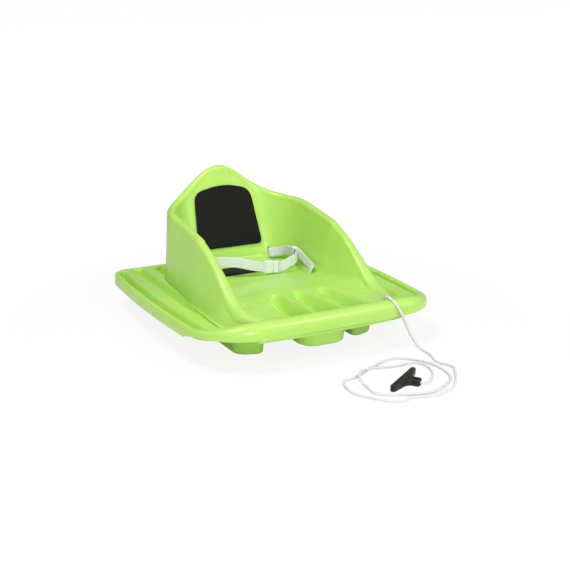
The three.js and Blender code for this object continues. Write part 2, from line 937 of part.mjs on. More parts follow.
// The buckle's frame: X from the socket towards the plug, Z up its face
function buckleFrame() {
  const turn = new THREE.Matrix4().makeRotationZ(buckleTurn);
  const tilt = new THREE.Matrix4().makeRotationY(buckleTilt);
  return shift(buckleX, buckleY, buckleZ).multiply(turn).multiply(tilt);
}

// A block with its four corners in front view rounded, centred on zero
function blockSolid(length, thickness, height, round) {
  const [l, h] = [length / 2, height / 2];
  const shape = roundedShape([[-l, -h, round], [l, -h, round], [l, h, round], [-l, h, round]]);
  const geometry = roundedSlab(shape, thickness, blockEdgeRound);
  geometry.translate(0, 0, -thickness / 2);
  geometry.rotateX(Math.PI / 2);
  return solidFromGeometry(geometry);
}

// The strap's end sits in a pocket at the outer end of each half
function strapPocket(outerEnd) {
  const slack = webbingThickness + fitGap * 2;
  return boxSolid(strapPocketDepth * 2, slack, webbingWidth + fitGap * 2, shift(outerEnd, 0, 0));
}

// Middles of the two halves along the buckle
const socketMiddle = -(plugLength + fitGap) / 2;
const plugMiddle = (socketLength + fitGap) / 2;

function socketSolid() {
  const hollow = [socketThickness - socketWall * 2, socketHeight - socketWall * 2];
  const inside = boxSolid(socketLength, ...hollow, shift(strapPocketDepth + socketWall, 0, 0));
  const block = blockSolid(socketLength, socketThickness, socketHeight, socketCorner);
  return block.subtract(inside).subtract(strapPocket(-socketLength / 2));
}

function plugSolid() {
  const block = blockSolid(plugLength, plugThickness, plugHeight, plugCorner);
  const body = block.subtract(strapPocket(plugLength / 2));
  const z = socketHeight / 2 - socketWall - fitGap - prongHeight / 2;
  const x = -plugLength / 2 - prongLength / 2 + prongRoot;
  const places = [shift(x, 0, -z), shift(x, 0, z)];
  const prongs = places.map((place) => boxSolid(prongLength, prongThickness, prongHeight, place));
  return prongs.reduce((solid, prong) => solid.add(prong), body);
}

function buckleHalf(solid, along) {
  return placed(geometryFromSolid(solid), pointFrame(buckleFrame(), along));
}

// A place on the right side, with its X measured from the middle of the slot
function besideSlot([x, y, z]) {
  const slot = pointIn(slotFrame(1), 0);
  return new THREE.Vector3(slot.x + x, y, z);
}

// The slider's frame, with X along the strap and Z up its face
function sliderFrame() {
  const along = vector(sliderDirection).normalize();
  const side = new THREE.Vector3().crossVectors(upright, along).normalize();
  const up = new THREE.Vector3().crossVectors(along, side);
  return new THREE.Matrix4().makeBasis(along, side, up).setPosition(besideSlot(sliderPlace));
}

// The slider is a frame that holds two layers of webbing
function sliderGeometry() {
  const inner = webbingThickness * 2 + layerGap + fitGap * 2;
  const inside = boxSolid(sliderLength * 2, inner, webbingWidth + fitGap * 2, shift(0, 0, 0));
  const block = blockSolid(sliderLength, inner + sliderWall * 2, sliderHeight, sliderCorner);
  return placed(geometryFromSolid(block.subtract(inside)), sliderFrame());
}

function leftStrap() {
  const frame = buckleFrame();
  const outer = socketMiddle - socketLength / 2;
  const inner = outer + strapPocketDepth - fitGap;
  const start = [inner, outer, outer - strapPocketDepth].map((along) => pointIn(frame, along));
  const points = [...start, ...leftWay.map(vector), ...slotPoints(-1).reverse()];
  return strapGeometry(points, upOf(slotFrame(-1)));
}

function rightStrap() {
  const frame = buckleFrame();
  const outer = plugMiddle + plugLength / 2;
  const inner = outer - strapPocketDepth + fitGap;
  const start = [inner, outer, outer + strapPocketDepth].map((along) => pointIn(frame, along));
  const across = -(webbingThickness + layerGap) / 2;
  const reach = sliderLength / 2 + fitGap;
  const through = [-reach, 0, reach].map((along) => pointIn(sliderFrame(), along, across));
  const way = rightWay.map(([y, z], i) => {
    const x = mix(start[2].x, through[0].x, rightWayShares[i]);
    return new THREE.Vector3(x, y, z);
  });
  const points = [...start, ...way, ...through, ...tailWay.map(besideSlot)];
  return strapGeometry(points);
}

function backStrap() {
  const across = (webbingThickness + layerGap) / 2;
  const reach = sliderLength / 2 + fitGap;
  const through = [0, reach].map((along) => pointIn(sliderFrame(), along, across));
  const points = [...through, ...backWay.map(besideSlot), ...slotPoints(1).reverse()];
  return strapGeometry(points, upOf(slotFrame(1)));
}

// Rope

// A route that is stepped by its points, so that it is finest where they lie close
class Route extends THREE.CatmullRomCurve3 {
  getPointAt(share, target) {
    return this.getPoint(share, target);
  }

  getTangentAt(share, target) {
    return this.getTangent(share, target);
  }
}

function tubeGeometry(points, diameter) {
  const shape = new THREE.Shape();
  for (let k = 0; k < ropeSides; k += 1) {
    const a = (2 * Math.PI * (k + 1 / 2)) / ropeSides;
    const x = (diameter / 2) * Math.cos(a);
    const y = (diameter / 2) * Math.sin(a);
    if (k === 0) {
      shape.moveTo(x, y);
    } else {
      shape.lineTo(x, y);
    }
  }
  shape.closePath();
  const steps = (points.length - 1) * ropeStepsPerPoint;
  return new THREE.ExtrudeGeometry(shape, { steps, extrudePath: new Route(points), curveSegments: 1 });
}

function handleFrame() {
  return shift(...handlePlace).multiply(new THREE.Matrix4().makeRotationZ(handleTurn));
}

// Heights and places along the handle's stem
const stemTip = barMiddleDepth / 2 + stemLength;
const boreZ = handleThickness / 2;
const pocketMiddle = stemTip - boreLength - pocketLength / 2;
const ropeEndX = pocketMiddle + handleKnotDiameter / 2 + fitGap;

// The rope's last points lie on the axis of the stem's bore
function ropeGeometry() {
  const ends = [stemTip + ropeLeadIn, stemTip, ropeEndX];
  const inStem = ends.map((along) => pointIn(handleFrame(), along, 0, boreZ));
  return tubeGeometry([...ropePoints.map(vector), ...inStem], ropeDiameter);
}

function knotGeometry(diameter, point) {
  const ball = new THREE.SphereGeometry(diameter / 2, knotSides, knotRings);
  return ball.translate(point.x, point.y, point.z);
}

// The stop knot hangs under the hole, just below the rope's first point
function stopKnot() {
  const point = vector(ropePoints[0]);
  point.z -= knotDiameter / 2 + fitGap;
  return knotGeometry(knotDiameter, point);
}

function handleKnot() {
  return knotGeometry(handleKnotDiameter, pointIn(handleFrame(), pocketMiddle, 0, boreZ));
}

// Pull handle: a tapered bar with a stem that runs out along local X
function handleOutline() {
  const half = barLength / 2;
  const back = -barMiddleDepth / 2;
  const front = barMiddleDepth / 2;
  const end = back + barEndDepth;
  const stem = stemWidth / 2;
  return roundedShape([
    [back, -half, barCorner],
    [end, -half, barCorner],
    [front, -stem - stemShoulder, barCorner],
    [front + stemShoulder, -stem, barCorner],
    [stemTip, -stem, stemCorner],
    [stemTip, stem, stemCorner],
    [front + stemShoulder, stem, barCorner],
    [front, stem + stemShoulder, barCorner],
    [end, half, barCorner],
    [back, half, barCorner],
  ]);
}

function handleGeometry() {
  const body = solidFromGeometry(roundedSlab(handleOutline(), handleThickness, handleEdgeRound));
  const drill = new THREE.CylinderGeometry(handleBore / 2, handleBore / 2, drillLength, boreSides);
  drill.rotateZ(Math.PI / 2);
  const bore = solidFromGeometry(drill.translate(stemTip, 0, boreZ));
  const [l, w] = [pocketLength / 2, pocketWidth / 2];
  const corners = [[-l, -w, w], [l, -w, w], [l, w, w], [-l, w, w]];
  const hole = new THREE.ExtrudeGeometry(roundedShape(corners), {
    depth: handleThickness,
    bevelEnabled: false,
    curveSegments,
  });
  const pocket = solidFromGeometry(hole.translate(pocketMiddle, 0, handleThickness - pocketDepth));
  return placed(geometryFromSolid(body.subtract(bore).subtract(pocket)), handleFrame());
}

// Assembly

const model = new THREE.Group();
const centred = new THREE.Group();
centred.position.y = -(hullFrontY + hullRearY) / 2;
model.add(centred);

function add(name, geometry, colour, roughness) {
  const material = new THREE.MeshStandardMaterial({ color: colour, roughness, metalness: 0 });
  const mesh = new THREE.Mesh(geometry, material);
  mesh.name = name;
  centred.add(mesh);
}

const satin = 0.42;
const matte = 0.8;
const gloss = 0.3;

add('hull_shell', geometryFromSolid(hullSolid()), limeGreen, satin);
add('back_pad', backPad(), padBlack, matte);
add('seat_pad', seatPad(), padBlack, matte);
add('belt_strap_left', leftStrap(), webbingWhite, matte);
add('belt_strap_right', rightStrap(), webbingWhite, matte);
add('belt_strap_back', backStrap(), webbingWhite, matte);
add('strap_anchor_left', anchorGeometry(-1), buckleWhite, gloss);
add('strap_anchor_right', anchorGeometry(1), buckleWhite, gloss);
add('strap_slider', sliderGeometry(), buckleWhite, gloss);
add('buckle_socket', buckleHalf(socketSolid(), socketMiddle), buckleWhite, gloss);
add('buckle_plug', buckleHalf(plugSolid(), plugMiddle), buckleWhite, gloss);
add('pull_rope', ropeGeometry(), ropeWhite, matte);
add('rope_stop_knot', stopKnot(), ropeWhite, matte);
add('pull_handle', handleGeometry(), handleBlack, satin);
add('handle_knot', handleKnot(), ropeWhite, matte);

export default model;
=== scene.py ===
# %% [markdown]
# A toddler's pull sled, dressed for its photograph.
# The imported solids are loaded first and never moved, because every place below is taken from them.

# %% Load the frame
import math

import bpy
import numpy as np
from mathutils import Matrix, Vector


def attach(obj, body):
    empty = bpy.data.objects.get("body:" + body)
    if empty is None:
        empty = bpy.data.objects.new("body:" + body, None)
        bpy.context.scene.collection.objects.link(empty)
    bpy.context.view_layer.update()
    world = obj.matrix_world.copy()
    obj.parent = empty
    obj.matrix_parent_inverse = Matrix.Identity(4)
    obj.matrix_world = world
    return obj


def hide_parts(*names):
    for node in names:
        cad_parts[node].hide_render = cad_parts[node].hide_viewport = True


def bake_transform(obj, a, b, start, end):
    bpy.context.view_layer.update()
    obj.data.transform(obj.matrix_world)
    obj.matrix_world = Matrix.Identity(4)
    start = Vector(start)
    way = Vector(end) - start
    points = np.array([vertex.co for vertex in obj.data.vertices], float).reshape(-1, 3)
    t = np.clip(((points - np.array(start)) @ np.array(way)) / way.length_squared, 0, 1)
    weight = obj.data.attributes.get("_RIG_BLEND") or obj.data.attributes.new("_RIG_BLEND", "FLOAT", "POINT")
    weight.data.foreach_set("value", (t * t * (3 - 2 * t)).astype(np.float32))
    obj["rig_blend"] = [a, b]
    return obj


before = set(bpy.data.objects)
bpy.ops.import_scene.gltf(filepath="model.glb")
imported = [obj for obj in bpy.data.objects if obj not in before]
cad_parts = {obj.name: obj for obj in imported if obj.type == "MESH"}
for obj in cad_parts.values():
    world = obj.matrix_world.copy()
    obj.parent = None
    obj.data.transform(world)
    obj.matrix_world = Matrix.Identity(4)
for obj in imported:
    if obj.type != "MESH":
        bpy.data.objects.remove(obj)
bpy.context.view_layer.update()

# %% [markdown]
# The camera comes before anything else, so that the rope can be judged against what it sees. It stands low
# to the left of the sled's front, about two metres off, with a short telephoto lens. The three directions
# are built from its heading and its height, which is easier to check than angles of rotation.

# %% Camera
def new_object(name, data):
    made = bpy.data.objects.new(name, data)
    bpy.context.scene.collection.objects.link(made)
    return made


heading = math.radians(-28.17)
downward = math.radians(17.0)
right_way = Vector((math.cos(heading), math.sin(heading), 0))
sight = Vector((-math.sin(heading) * math.cos(downward), math.cos(heading) * math.cos(downward),
                -math.sin(downward)))
up_way = right_way.cross(sight)
lens = bpy.data.cameras.new("camera")
lens.lens = 68.97
lens.sensor_width = 36.0
camera = new_object("camera", lens)
turned_camera = Matrix((right_way, up_way, -sight)).transposed().to_4x4()
camera.matrix_world = Matrix.Translation((-0.938, -1.806, 0.697)) @ turned_camera
bpy.context.scene.camera = camera
print("camera", [round(v, 3) for v in camera.location], "lens", lens.lens)

# %% [markdown]
# Most pieces are grids of points bent into shape, so a few helpers turn grids and rings into closed meshes.
# Sizes are written in millimetres as on a drawing, and the helper that makes the object scales them to
# metres. The hull was drawn three millimetres further forward than it stands here, so the same helper moves
# it back.

# %% Mesh helpers
MM = 0.001
MOVED_BACK = 3.0


def placed(points):
    """Drawn points in millimetres, moved to where they stand in metres."""
    return (np.asarray(points, float) + (0, MOVED_BACK, 0)) * MM


def mesh_object(name, points, faces, smooth_angle=40):
    mesh = bpy.data.meshes.new(name)
    mesh.from_pydata(placed(points).reshape(-1, 3).tolist(), [], faces)
    mesh.validate()
    mesh.shade_smooth()
    mesh.set_sharp_from_angle(angle=math.radians(smooth_angle))
    return new_object(name, mesh)


def grid_faces(rows, columns, round_rows=False, round_columns=False):
    """Squares between the points of a grid, closed round where rows or columns meet their own start."""
    faces = []
    for i in range(rows if round_rows else rows - 1):
        for j in range(columns if round_columns else columns - 1):
            over = (j + 1) % columns
            below = (i + 1) % rows
            faces.append((i * columns + j, i * columns + over, below * columns + over, below * columns + j))
    return faces


def stacked_rings(rings):
    """Points and faces of rings stacked into a solid, with a flat cap at both ends."""
    rings = np.asarray(rings, float)
    count, size = rings.shape[:2]
    faces = grid_faces(count, size, round_columns=True)
    faces.append(tuple(range(size - 1, -1, -1)))
    faces.append(tuple(range((count - 1) * size, count * size)))
    return rings.reshape(-1, 3), faces


def smooth(share):
    t = np.clip(share, 0, 1)
    return t * t * (3 - 2 * t)


def baked(piece):
    """The piece with its modifiers worked out, as a plain mesh."""
    seen = piece.evaluated_get(bpy.context.evaluated_depsgraph_get())
    mesh = bpy.data.meshes.new_from_object(seen)
    piece.modifiers.clear()
    old, piece.data = piece.data, mesh
    if old.users == 0:
        bpy.data.meshes.remove(old)
    return piece


def cut(piece, tools, operation="DIFFERENCE", solver="MANIFOLD"):
    for tool in tools:
        bite = piece.modifiers.new("cut", "BOOLEAN")
        bite.operation = operation
        bite.solver = solver
        bite.object = tool
        baked(piece)
    for tool in tools:
        bpy.data.objects.remove(tool)
    return piece


def finished(piece, finish, sharp_angle=None):
    """Gives a piece its one finish, and smooth shading between the edges that are sharper than an angle."""
    piece.data.materials.clear()
    piece.data.materials.append(finish)
    if sharp_angle:
        piece.data.shade_smooth()
        piece.data.set_sharp_from_angle(angle=math.radians(sharp_angle))
    return piece


def triangles(piece):
    piece.data.calc_loop_triangles()
    return len(piece.data.loop_triangles)


print("helpers ready")

# %% [markdown]
# The pull rope is one soft braided cord. It is knotted under the front lip, comes up through a hole, rolls
# over the lip, drops to the floor and lies there in loose loops until it enters the stem of the handle. The
# route is a short list of places, and a smooth curve is drawn through them. Geometry nodes sweep a round
# section along the curve, and store how far along and how far round each point is. The braid of the finish
# follows those two numbers, so it never slides over the loops.

# %% Rope route
rope_rest = 0.0027
rope_places = [
    (0.1195, -0.214, 0.080), (0.1195, -0.216, 0.089), (0.119, -0.225, 0.095),
    (0.119, -0.237, 0.0954), (0.124, -0.249, 0.087), (0.132, -0.256, 0.070),
    (0.143, -0.258, 0.047), (0.151, -0.267, 0.024), (0.158, -0.283, 0.008),
    (0.1615, -0.304, 0.0038), (0.152, -0.344, rope_rest), (0.162, -0.374, rope_rest),
    (0.148, -0.402, rope_rest), (0.106, -0.452, rope_rest), (0.062, -0.467, rope_rest),
    (0.022, -0.457, rope_rest), (-0.004, -0.461, rope_rest), (-0.038, -0.428, rope_rest),
    (-0.054, -0.390, rope_rest), (-0.041, -0.346, rope_rest), (-0.008, -0.336, rope_rest),
    (0.026, -0.316, rope_rest), (0.088, -0.294, rope_rest), (0.111, -0.303, rope_rest),
    (0.137, -0.346, rope_rest), (0.133, -0.406, rope_rest), (0.102, -0.438, rope_rest),
    (0.062, -0.453, rope_rest), (0.025, -0.444, rope_rest), (-0.022, -0.415, rope_rest),
    (-0.020, -0.385, rope_rest), (-0.016, -0.358, 0.005), (-0.005, -0.338, 0.0084),
    (0.014, -0.327, 0.0084), (0.073, -0.327, rope_rest), (0.114, -0.328, rope_rest),
    (0.124, -0.350, rope_rest), (0.113, -0.384, rope_rest), (0.095, -0.406, 0.0034),
    (0.080, -0.4185, 0.005)]
handle_place = np.array((49.6, -393.0, 0.0))
handle_turn = math.radians(-55.8)
handle_along = np.array((math.cos(handle_turn), math.sin(handle_turn), 0.0))
handle_across = np.array((-math.sin(handle_turn), math.cos(handle_turn), 0.0))


def at_handle(along, across=0.0, up=0.0):
    return handle_place + handle_along * along + handle_across * across + np.array((0.0, 0.0, up))


def curve_through(places, per_span):
    """A centripetal curve through the places, as points."""
    p = np.asarray(places, float)
    p = np.concatenate([[2 * p[0] - p[1]], p, [2 * p[-1] - p[-2]]])
    points = []
    for k in range(1, len(p) - 2):
        knots = np.cumsum([0] + [max(np.linalg.norm(p[k + i] - p[k + i - 1]), 1e-9) ** 0.5
                                 for i in (0, 1, 2)])
        t = np.linspace(knots[1], knots[2], per_span, endpoint=False)[:, None]
        a = [p[k - 1 + i] * (knots[i + 1] - t) + p[k + i] * (t - knots[i]) for i in range(3)]
        a = [a[i] / (knots[i + 1] - knots[i]) for i in range(3)]
        b = [(a[i] * (knots[i + 2] - t) + a[i + 1] * (t - knots[i])) / (knots[i + 2] - knots[i])
             for i in range(2)]
        points.append((b[0] * (knots[2] - t) + b[1] * (t - knots[1])) / (knots[2] - knots[1]))
    return np.concatenate(points + [p[-2:-1]])


def even_steps(points, count):
    """The same line, stepped evenly by its length."""
    gaps = np.linalg.norm(np.diff(points, axis=0), axis=1)
    along = np.concatenate([[0], np.cumsum(gaps)])
    wanted = np.linspace(0, along[-1], count)
    return np.stack([np.interp(wanted, along, points[:, i]) for i in range(3)], 1), along[-1]


stem_tip, rope_end, bore_height = 28.5, 21.85, 6.0
rope_mm = [np.array(p) * 1000 for p in rope_places]
rope_mm += [at_handle(along, up=bore_height) for along in (stem_tip + 4, stem_tip, rope_end)]
rope_line, rope_length = even_steps(curve_through(rope_mm, 24), 700)
print("rope length mm", round(rope_length, 1))

# %% [markdown]
# Finishes are trees of nodes. A tree is hard to read as a list of links, so one small class wraps a socket,
# and sums and products of sockets are then written as ordinary Python. Colours and vectors go through their
# own nodes, because a plain number node would turn a colour grey.

# %% Shader maths
class Wire:
    """A socket of a material's tree that can be used in sums."""

    def __init__(self, tree, socket):
        self.tree, self.socket = tree, socket

    def node(self, kind, settings=None, sockets=None, output=0):
        made = self.tree.nodes.new(kind)
        for name, value in (settings or {}).items():
            setattr(made, name, value)
        for key, value in (sockets or {}).items():
            if isinstance(value, Wire):
                self.tree.links.new(value.socket, made.inputs[key])
            else:
                made.inputs[key].default_value = value
        return Wire(self.tree, made.outputs[output])

    def sum_of(self, operation, *values):
        return self.node("ShaderNodeMath", {"operation": operation}, dict(enumerate(values)))

    def __add__(self, other):
        return self.sum_of("ADD", self, other)

    def __sub__(self, other):
        return self.sum_of("SUBTRACT", self, other)

    def __rsub__(self, other):
        return self.sum_of("SUBTRACT", other, self)

    def __mul__(self, other):
        return self.sum_of("MULTIPLY", self, other)

    __radd__ = __add__
    __rmul__ = __mul__

    def wave(self):
        return self.sum_of("SINE", self)

    def clamped(self, low, high):
        return self.node("ShaderNodeMapRange", {}, {0: self, 1: low, 2: high, 3: 0.0, 4: 1.0})

    def noise(self, vector, scale, detail=2.0, roughness=0.5):
        return self.node("ShaderNodeTexNoise", {}, {"Vector": vector, "Scale": scale, "Detail": detail,
                                                    "Roughness": roughness})

    def mixed(self, first, second):
        return self.node("ShaderNodeMix", {"data_type": "RGBA"}, {0: self, 6: first, 7: second}, output=2)

    def parts(self):
        split = self.node("ShaderNodeSeparateXYZ", {}, {0: self})
        node = split.socket.node
        return [Wire(self.tree, node.outputs[i]) for i in range(3)]


def colour(red, green, blue):
    return (red, green, blue, 1.0)


def new_finish(name, **fixed):
    """A material with its main shader, and a wire on which to hang its nodes."""
    made = bpy.data.materials.new(name)
    made.use_nodes = True
    tree = made.node_tree
    shader = tree.nodes["Principled BSDF"]
    for key, value in fixed.items():
        shader.inputs[key.replace("_", " ")].default_value = value
    place = tree.nodes.new("ShaderNodeTexCoord")
    return made, shader, Wire(tree, place.outputs["Object"])


def feed(shader, wire, key):
    wire.tree.links.new(wire.socket, shader.inputs[key])


def relief(shader, height, distance, strength=1.0):
    feed(shader,
         height.node("ShaderNodeBump", {}, {"Height": height, "Distance": distance, "Strength": strength}),
         "Normal")


print("shader maths ready")

# %% [markdown]
# The hull is moulded in one skin of lime green plastic with a satin shine. A real moulding is not one flat
# colour: it is a little paler in slow patches, it has a fine grain from the mould, and it is dulled and
# scuffed where it rubs on snow and ground. The scuffs are stretched noise that only shows low down, on the
# runners.

# %% Hull plastic
hull_green, shader, place = new_finish("hull_plastic", IOR=1.5)
cloudy = place.noise(place, 9.0, 3.0)
tint = cloudy.clamped(0.3, 0.7).mixed(colour(0.450, 0.745, 0.125), colour(0.495, 0.780, 0.155))
grain = place.noise(place, 1400.0, 2.0, 0.6)
_, _, z_way = place.parts()
streaks = place.noise(place.node("ShaderNodeMapping", {}, {0: place, 3: (900.0, 12.0, 300.0)}), 1.0, 3.0)
low_down = 1 - z_way.clamped(0.002, 0.012)
scuff = low_down * streaks.clamped(0.52, 0.68)
feed(shader, (scuff * 0.55).mixed(tint, colour(0.55, 0.78, 0.32)), "Base Color")
feed(shader, 0.20 + cloudy * 0.08 + grain * 0.05 + scuff * 0.25, "Roughness")
relief(shader, grain * 0.5 + scuff * 0.8, 0.00012, 0.5)
print("hull plastic has", len(hull_green.node_tree.nodes), "nodes")

# %% [markdown]
# The pads are thin sheets of black foam with a knitted face, glued into the seat. The knit is a fine even
# dimple, so two crossed waves give it, and a soft noise makes the nap uneven. Its sheen is a pale bloom
# seen at a slant.

# %% Pad foam
pad_black, shader, place = new_finish("pad_foam", Roughness=0.9, Specular_IOR_Level=0.25, Sheen_Weight=0.03,
                                      Sheen_Roughness=0.5)
x_way, y_way, z_way = place.parts()
up_and_back = z_way + y_way * 0.6
dimples = 2600.0
knit = (x_way * dimples).wave() * (up_and_back * dimples).wave()
nap = place.noise(place, 240.0, 4.0)
bloom = (nap * 0.6 + knit * 0.2 + 0.1).clamped(0.0, 1.0)
feed(shader, bloom.mixed(colour(0.005, 0.005, 0.0048), colour(0.012, 0.0115, 0.011)), "Base Color")
relief(shader, knit * 0.5 + nap * 0.8, 0.0003, 0.6)
print("pad foam has", len(pad_black.node_tree.nodes), "nodes")

# %% [markdown]
# The belt is white polypropylene webbing. Its weave runs with the strap, so it follows two numbers stored
# on the mesh: how far along, and how far across, both in metres. Ribs run along the strap and short picks
# cross them in rows that step sideways, which is what gives webbing its herringbone look.

# %% Webbing
webbing, shader, place = new_finish("belt_webbing", Roughness=0.72, Sheen_Weight=0.15, Sheen_Roughness=0.4)
lay = place.node("ShaderNodeAttribute", {"attribute_name": "strap_way"}, {}, output="Vector")
along, across, _ = lay.parts()
rib_way = across * 3900.0
ribs = rib_way.wave()
sidestep = (rib_way * 0.5).wave()
picks = (along * 2800.0 + sidestep * 1.6).wave()
weave = ribs * 0.5 + picks * 0.5
hem = across.sum_of("ABSOLUTE", across).clamped(0.0078, 0.0092)
worn = place.noise(place, 110.0, 3.0)
cloth = (weave * 0.5 + 0.5 + worn * 0.4).clamped(0.0, 1.3)
feed(shader, cloth.mixed(colour(0.66, 0.68, 0.76), colour(0.86, 0.87, 0.91)), "Base Color")
relief(shader, weave * 0.5 + hem * 0.6, 0.00035, 0.8)
print("webbing has", len(webbing.node_tree.nodes), "nodes")

# %% [markdown]
# The buckle, its slider and the two bars behind the slots are white nylon, a little see-through and softly
# glossy. A faint unevenness and a fine grain keep it from looking like paper.

# %% Buckle nylon
buckle_white, shader, place = new_finish("buckle_nylon", IOR=1.5, Subsurface_Weight=0.08,
                                         Subsurface_Scale=0.003)
cloudy = place.noise(place, 60.0, 3.0)
grain = place.noise(place, 2200.0, 2.0)
feed(shader, cloudy.clamped(0.3, 0.7).mixed(colour(0.80, 0.81, 0.85), colour(0.86, 0.87, 0.90)),
     "Base Color")
feed(shader, 0.28 + cloudy * 0.1 + grain * 0.06, "Roughness")
relief(shader, grain, 0.00006, 0.4)
print("buckle nylon has", len(buckle_white.node_tree.nodes), "nodes")

# %% [markdown]
# The handle is moulded in black plastic with a fine spark-eroded grain. Its edges are rubbed a little
# smoother and greyer where a hand holds it, which a slow noise along the bar stands for.

# %% Handle plastic
handle_black, shader, place = new_finish("handle_plastic", IOR=1.48)
grain = place.noise(place, 1700.0, 3.0, 0.65)
rubbed = place.noise(place, 45.0, 3.0)
feed(shader, rubbed.clamped(0.35, 0.7).mixed(colour(0.005, 0.005, 0.005), colour(0.012, 0.012, 0.011)),
     "Base Color")
feed(shader, 0.5 - rubbed * 0.12 + grain * 0.08, "Roughness")
relief(shader, grain, 0.00012, 0.6)
print("handle plastic has", len(handle_black.node_tree.nodes), "nodes")

# %% [markdown]
# The rope is a hollow braid of white yarns. Two sets of strands wind round it in opposite directions, and
# where they cross each yarn dips under the other. Each set is a wave whose crests slant along the rope, and
# the taller of the two shows. Painted shade darkens the colour in the dips between the yarns.

# %% Rope yarn
rope_white, shader, place = new_finish("rope_yarn", Roughness=0.8, Sheen_Weight=0.2, Sheen_Roughness=0.5)
lay = place.node("ShaderNodeAttribute", {"attribute_name": "rope_way"}, {}, output="Vector")
along, around, _ = lay.parts()
strands, lay_length = 4, 0.0052
turn = around * (2 * math.pi * strands)
rise = along * (2 * math.pi / lay_length)
one_way = (turn + rise).wave()
other_way = (turn - rise).wave()
braid = one_way.sum_of("MAXIMUM", one_way, other_way)
fuzz = place.noise(place, 900.0, 3.0)
# painted shade: the colour is darker where the braid dips between yarns; the fuzz adds a random tone
yarn_with_painted_shade = (braid * 0.6 + 0.3 + fuzz * 0.2).clamped(0.0, 1.0)
feed(shader, yarn_with_painted_shade.mixed(colour(0.56, 0.57, 0.57), colour(0.90, 0.90, 0.89)), "Base Color")
relief(shader, braid * 0.8 + fuzz * 0.3, 0.0004, 0.9)
print("rope yarn has", len(rope_white.node_tree.nodes), "nodes")

# %% [markdown]
# The rope is swept by a small tree of geometry nodes, whose inputs are its thickness, the number of sides
# and its finish. The line is stepped evenly first, so that every ring of the tube is the same size.

# %% Rope sweep
SOCKET_KINDS = {float: "NodeSocketFloat", int: "NodeSocketInt"}


def wire_tree(name, sizes):
    """A new tree of geometry nodes: its inputs by name, a way to add nodes and a way to end it."""
    tree = bpy.data.node_groups.new(name, "GeometryNodeTree")
    tree.interface.new_socket("Geometry", in_out="INPUT", socket_type="NodeSocketGeometry")
    for label, value in sizes.items():
        socket = tree.interface.new_socket(label, in_out="INPUT", socket_type=SOCKET_KINDS[type(value)])
        socket.default_value = value
    tree.interface.new_socket("Finish", in_out="INPUT", socket_type="NodeSocketMaterial")
    tree.interface.new_socket("Geometry", in_out="OUTPUT", socket_type="NodeSocketGeometry")
    entry = tree.nodes.new("NodeGroupInput")
    leave = tree.nodes.new("NodeGroupOutput")

    def add(kind, settings=None, sockets=None):
        made = tree.nodes.new(kind)
        for key, value in (settings or {}).items():
            setattr(made, key, value)
        for key, value in (sockets or {}).items():
            if isinstance(value, bpy.types.NodeSocket):
                tree.links.new(value, made.inputs[key])
            else:
                made.inputs[key].default_value = value
        return made

    def close(geometry):
        """Ends the tree as every tree here ends: real geometry, wearing the finish."""
        whole = add("GeometryNodeRealizeInstances", {}, {0: geometry})
        dressed = add("GeometryNodeSetMaterial", {}, {"Geometry": whole.outputs[0],
                                                      "Material": entry.outputs["Finish"]})
        tree.links.new(dressed.outputs[0], leave.inputs["Geometry"])

    return tree, entry.outputs, add, close


def grow(piece, tree, values):
    """Puts the tree on a piece, sets its inputs by their sockets' own names, and bakes the result."""
    growth = piece.modifiers.new("growth", "NODES")
    growth.node_group = tree
    for item in tree.interface.items_tree:
        if item.in_out == "INPUT" and item.name in values:
            growth[item.identifier] = values[item.name]
    mesh = bpy.data.meshes.new_from_object(piece.evaluated_get(bpy.context.evaluated_depsgraph_get()))
    name = mesh.name = piece.name
    made = new_object(name + "_made", mesh)
    bpy.data.objects.remove(piece)
    made.name = name
    return made


def line_curve(name, points):
    """A curve object through points in metres, with one open spline."""
    data = bpy.data.curves.new(name, "CURVE")
    data.dimensions = "3D"
    spline = data.splines.new("POLY")
    spline.points.add(len(points) - 1)
    spline.points.foreach_set("co", np.column_stack([points, np.ones(len(points))]).ravel())
    return new_object(name, data)


sweep, given, add, close = wire_tree("rope_sweep", {"Thickness": 0.005, "Sides": 16})
length_so_far = add("GeometryNodeSplineParameter")
stored = add("GeometryNodeStoreNamedAttribute", {"data_type": "FLOAT", "domain": "POINT"},
             {"Geometry": given["Geometry"], "Name": "so_far", "Value": length_so_far.outputs["Length"]})
half = add("ShaderNodeMath", {"operation": "MULTIPLY"}, {0: given["Thickness"], 1: 0.5})
ring = add("GeometryNodeCurvePrimitiveCircle", {},
           {"Resolution": given["Sides"], "Radius": half.outputs[0]})
round_so_far = add("GeometryNodeSplineParameter")
ring_stored = add("GeometryNodeStoreNamedAttribute", {"data_type": "FLOAT", "domain": "POINT"},
                  {"Geometry": ring.outputs["Curve"], "Name": "round_so_far",
                   "Value": round_so_far.outputs["Factor"]})
tube = add("GeometryNodeCurveToMesh", {},
           {"Curve": stored.outputs[0], "Profile Curve": ring_stored.outputs[0], "Fill Caps": True})
far = add("GeometryNodeInputNamedAttribute", {"data_type": "FLOAT"}, {"Name": "so_far"})
turned = add("GeometryNodeInputNamedAttribute", {"data_type": "FLOAT"}, {"Name": "round_so_far"})
both = add("ShaderNodeCombineXYZ", {}, {0: far.outputs[0], 1: turned.outputs[0]})
wayed = add("GeometryNodeStoreNamedAttribute", {"data_type": "FLOAT_VECTOR", "domain": "POINT"},
            {"Geometry": tube.outputs[0], "Name": "rope_way", "Value": both.outputs[0]})
close(wayed.outputs[0])


def swept(name, points, thickness, sides):
    """A braided cord along points in metres."""
    made = grow(line_curve(name, points), sweep,
                {"Thickness": thickness, "Sides": sides, "Finish": rope_white})
    made.data.shade_smooth()
    return made


rope_points = placed(rope_line)
rope = swept("pull_rope_braid", rope_points, 0.005, 16)
print("rope", len(rope.data.vertices), "points, first attributes",
      [a.name for a in rope.data.attributes][:6])

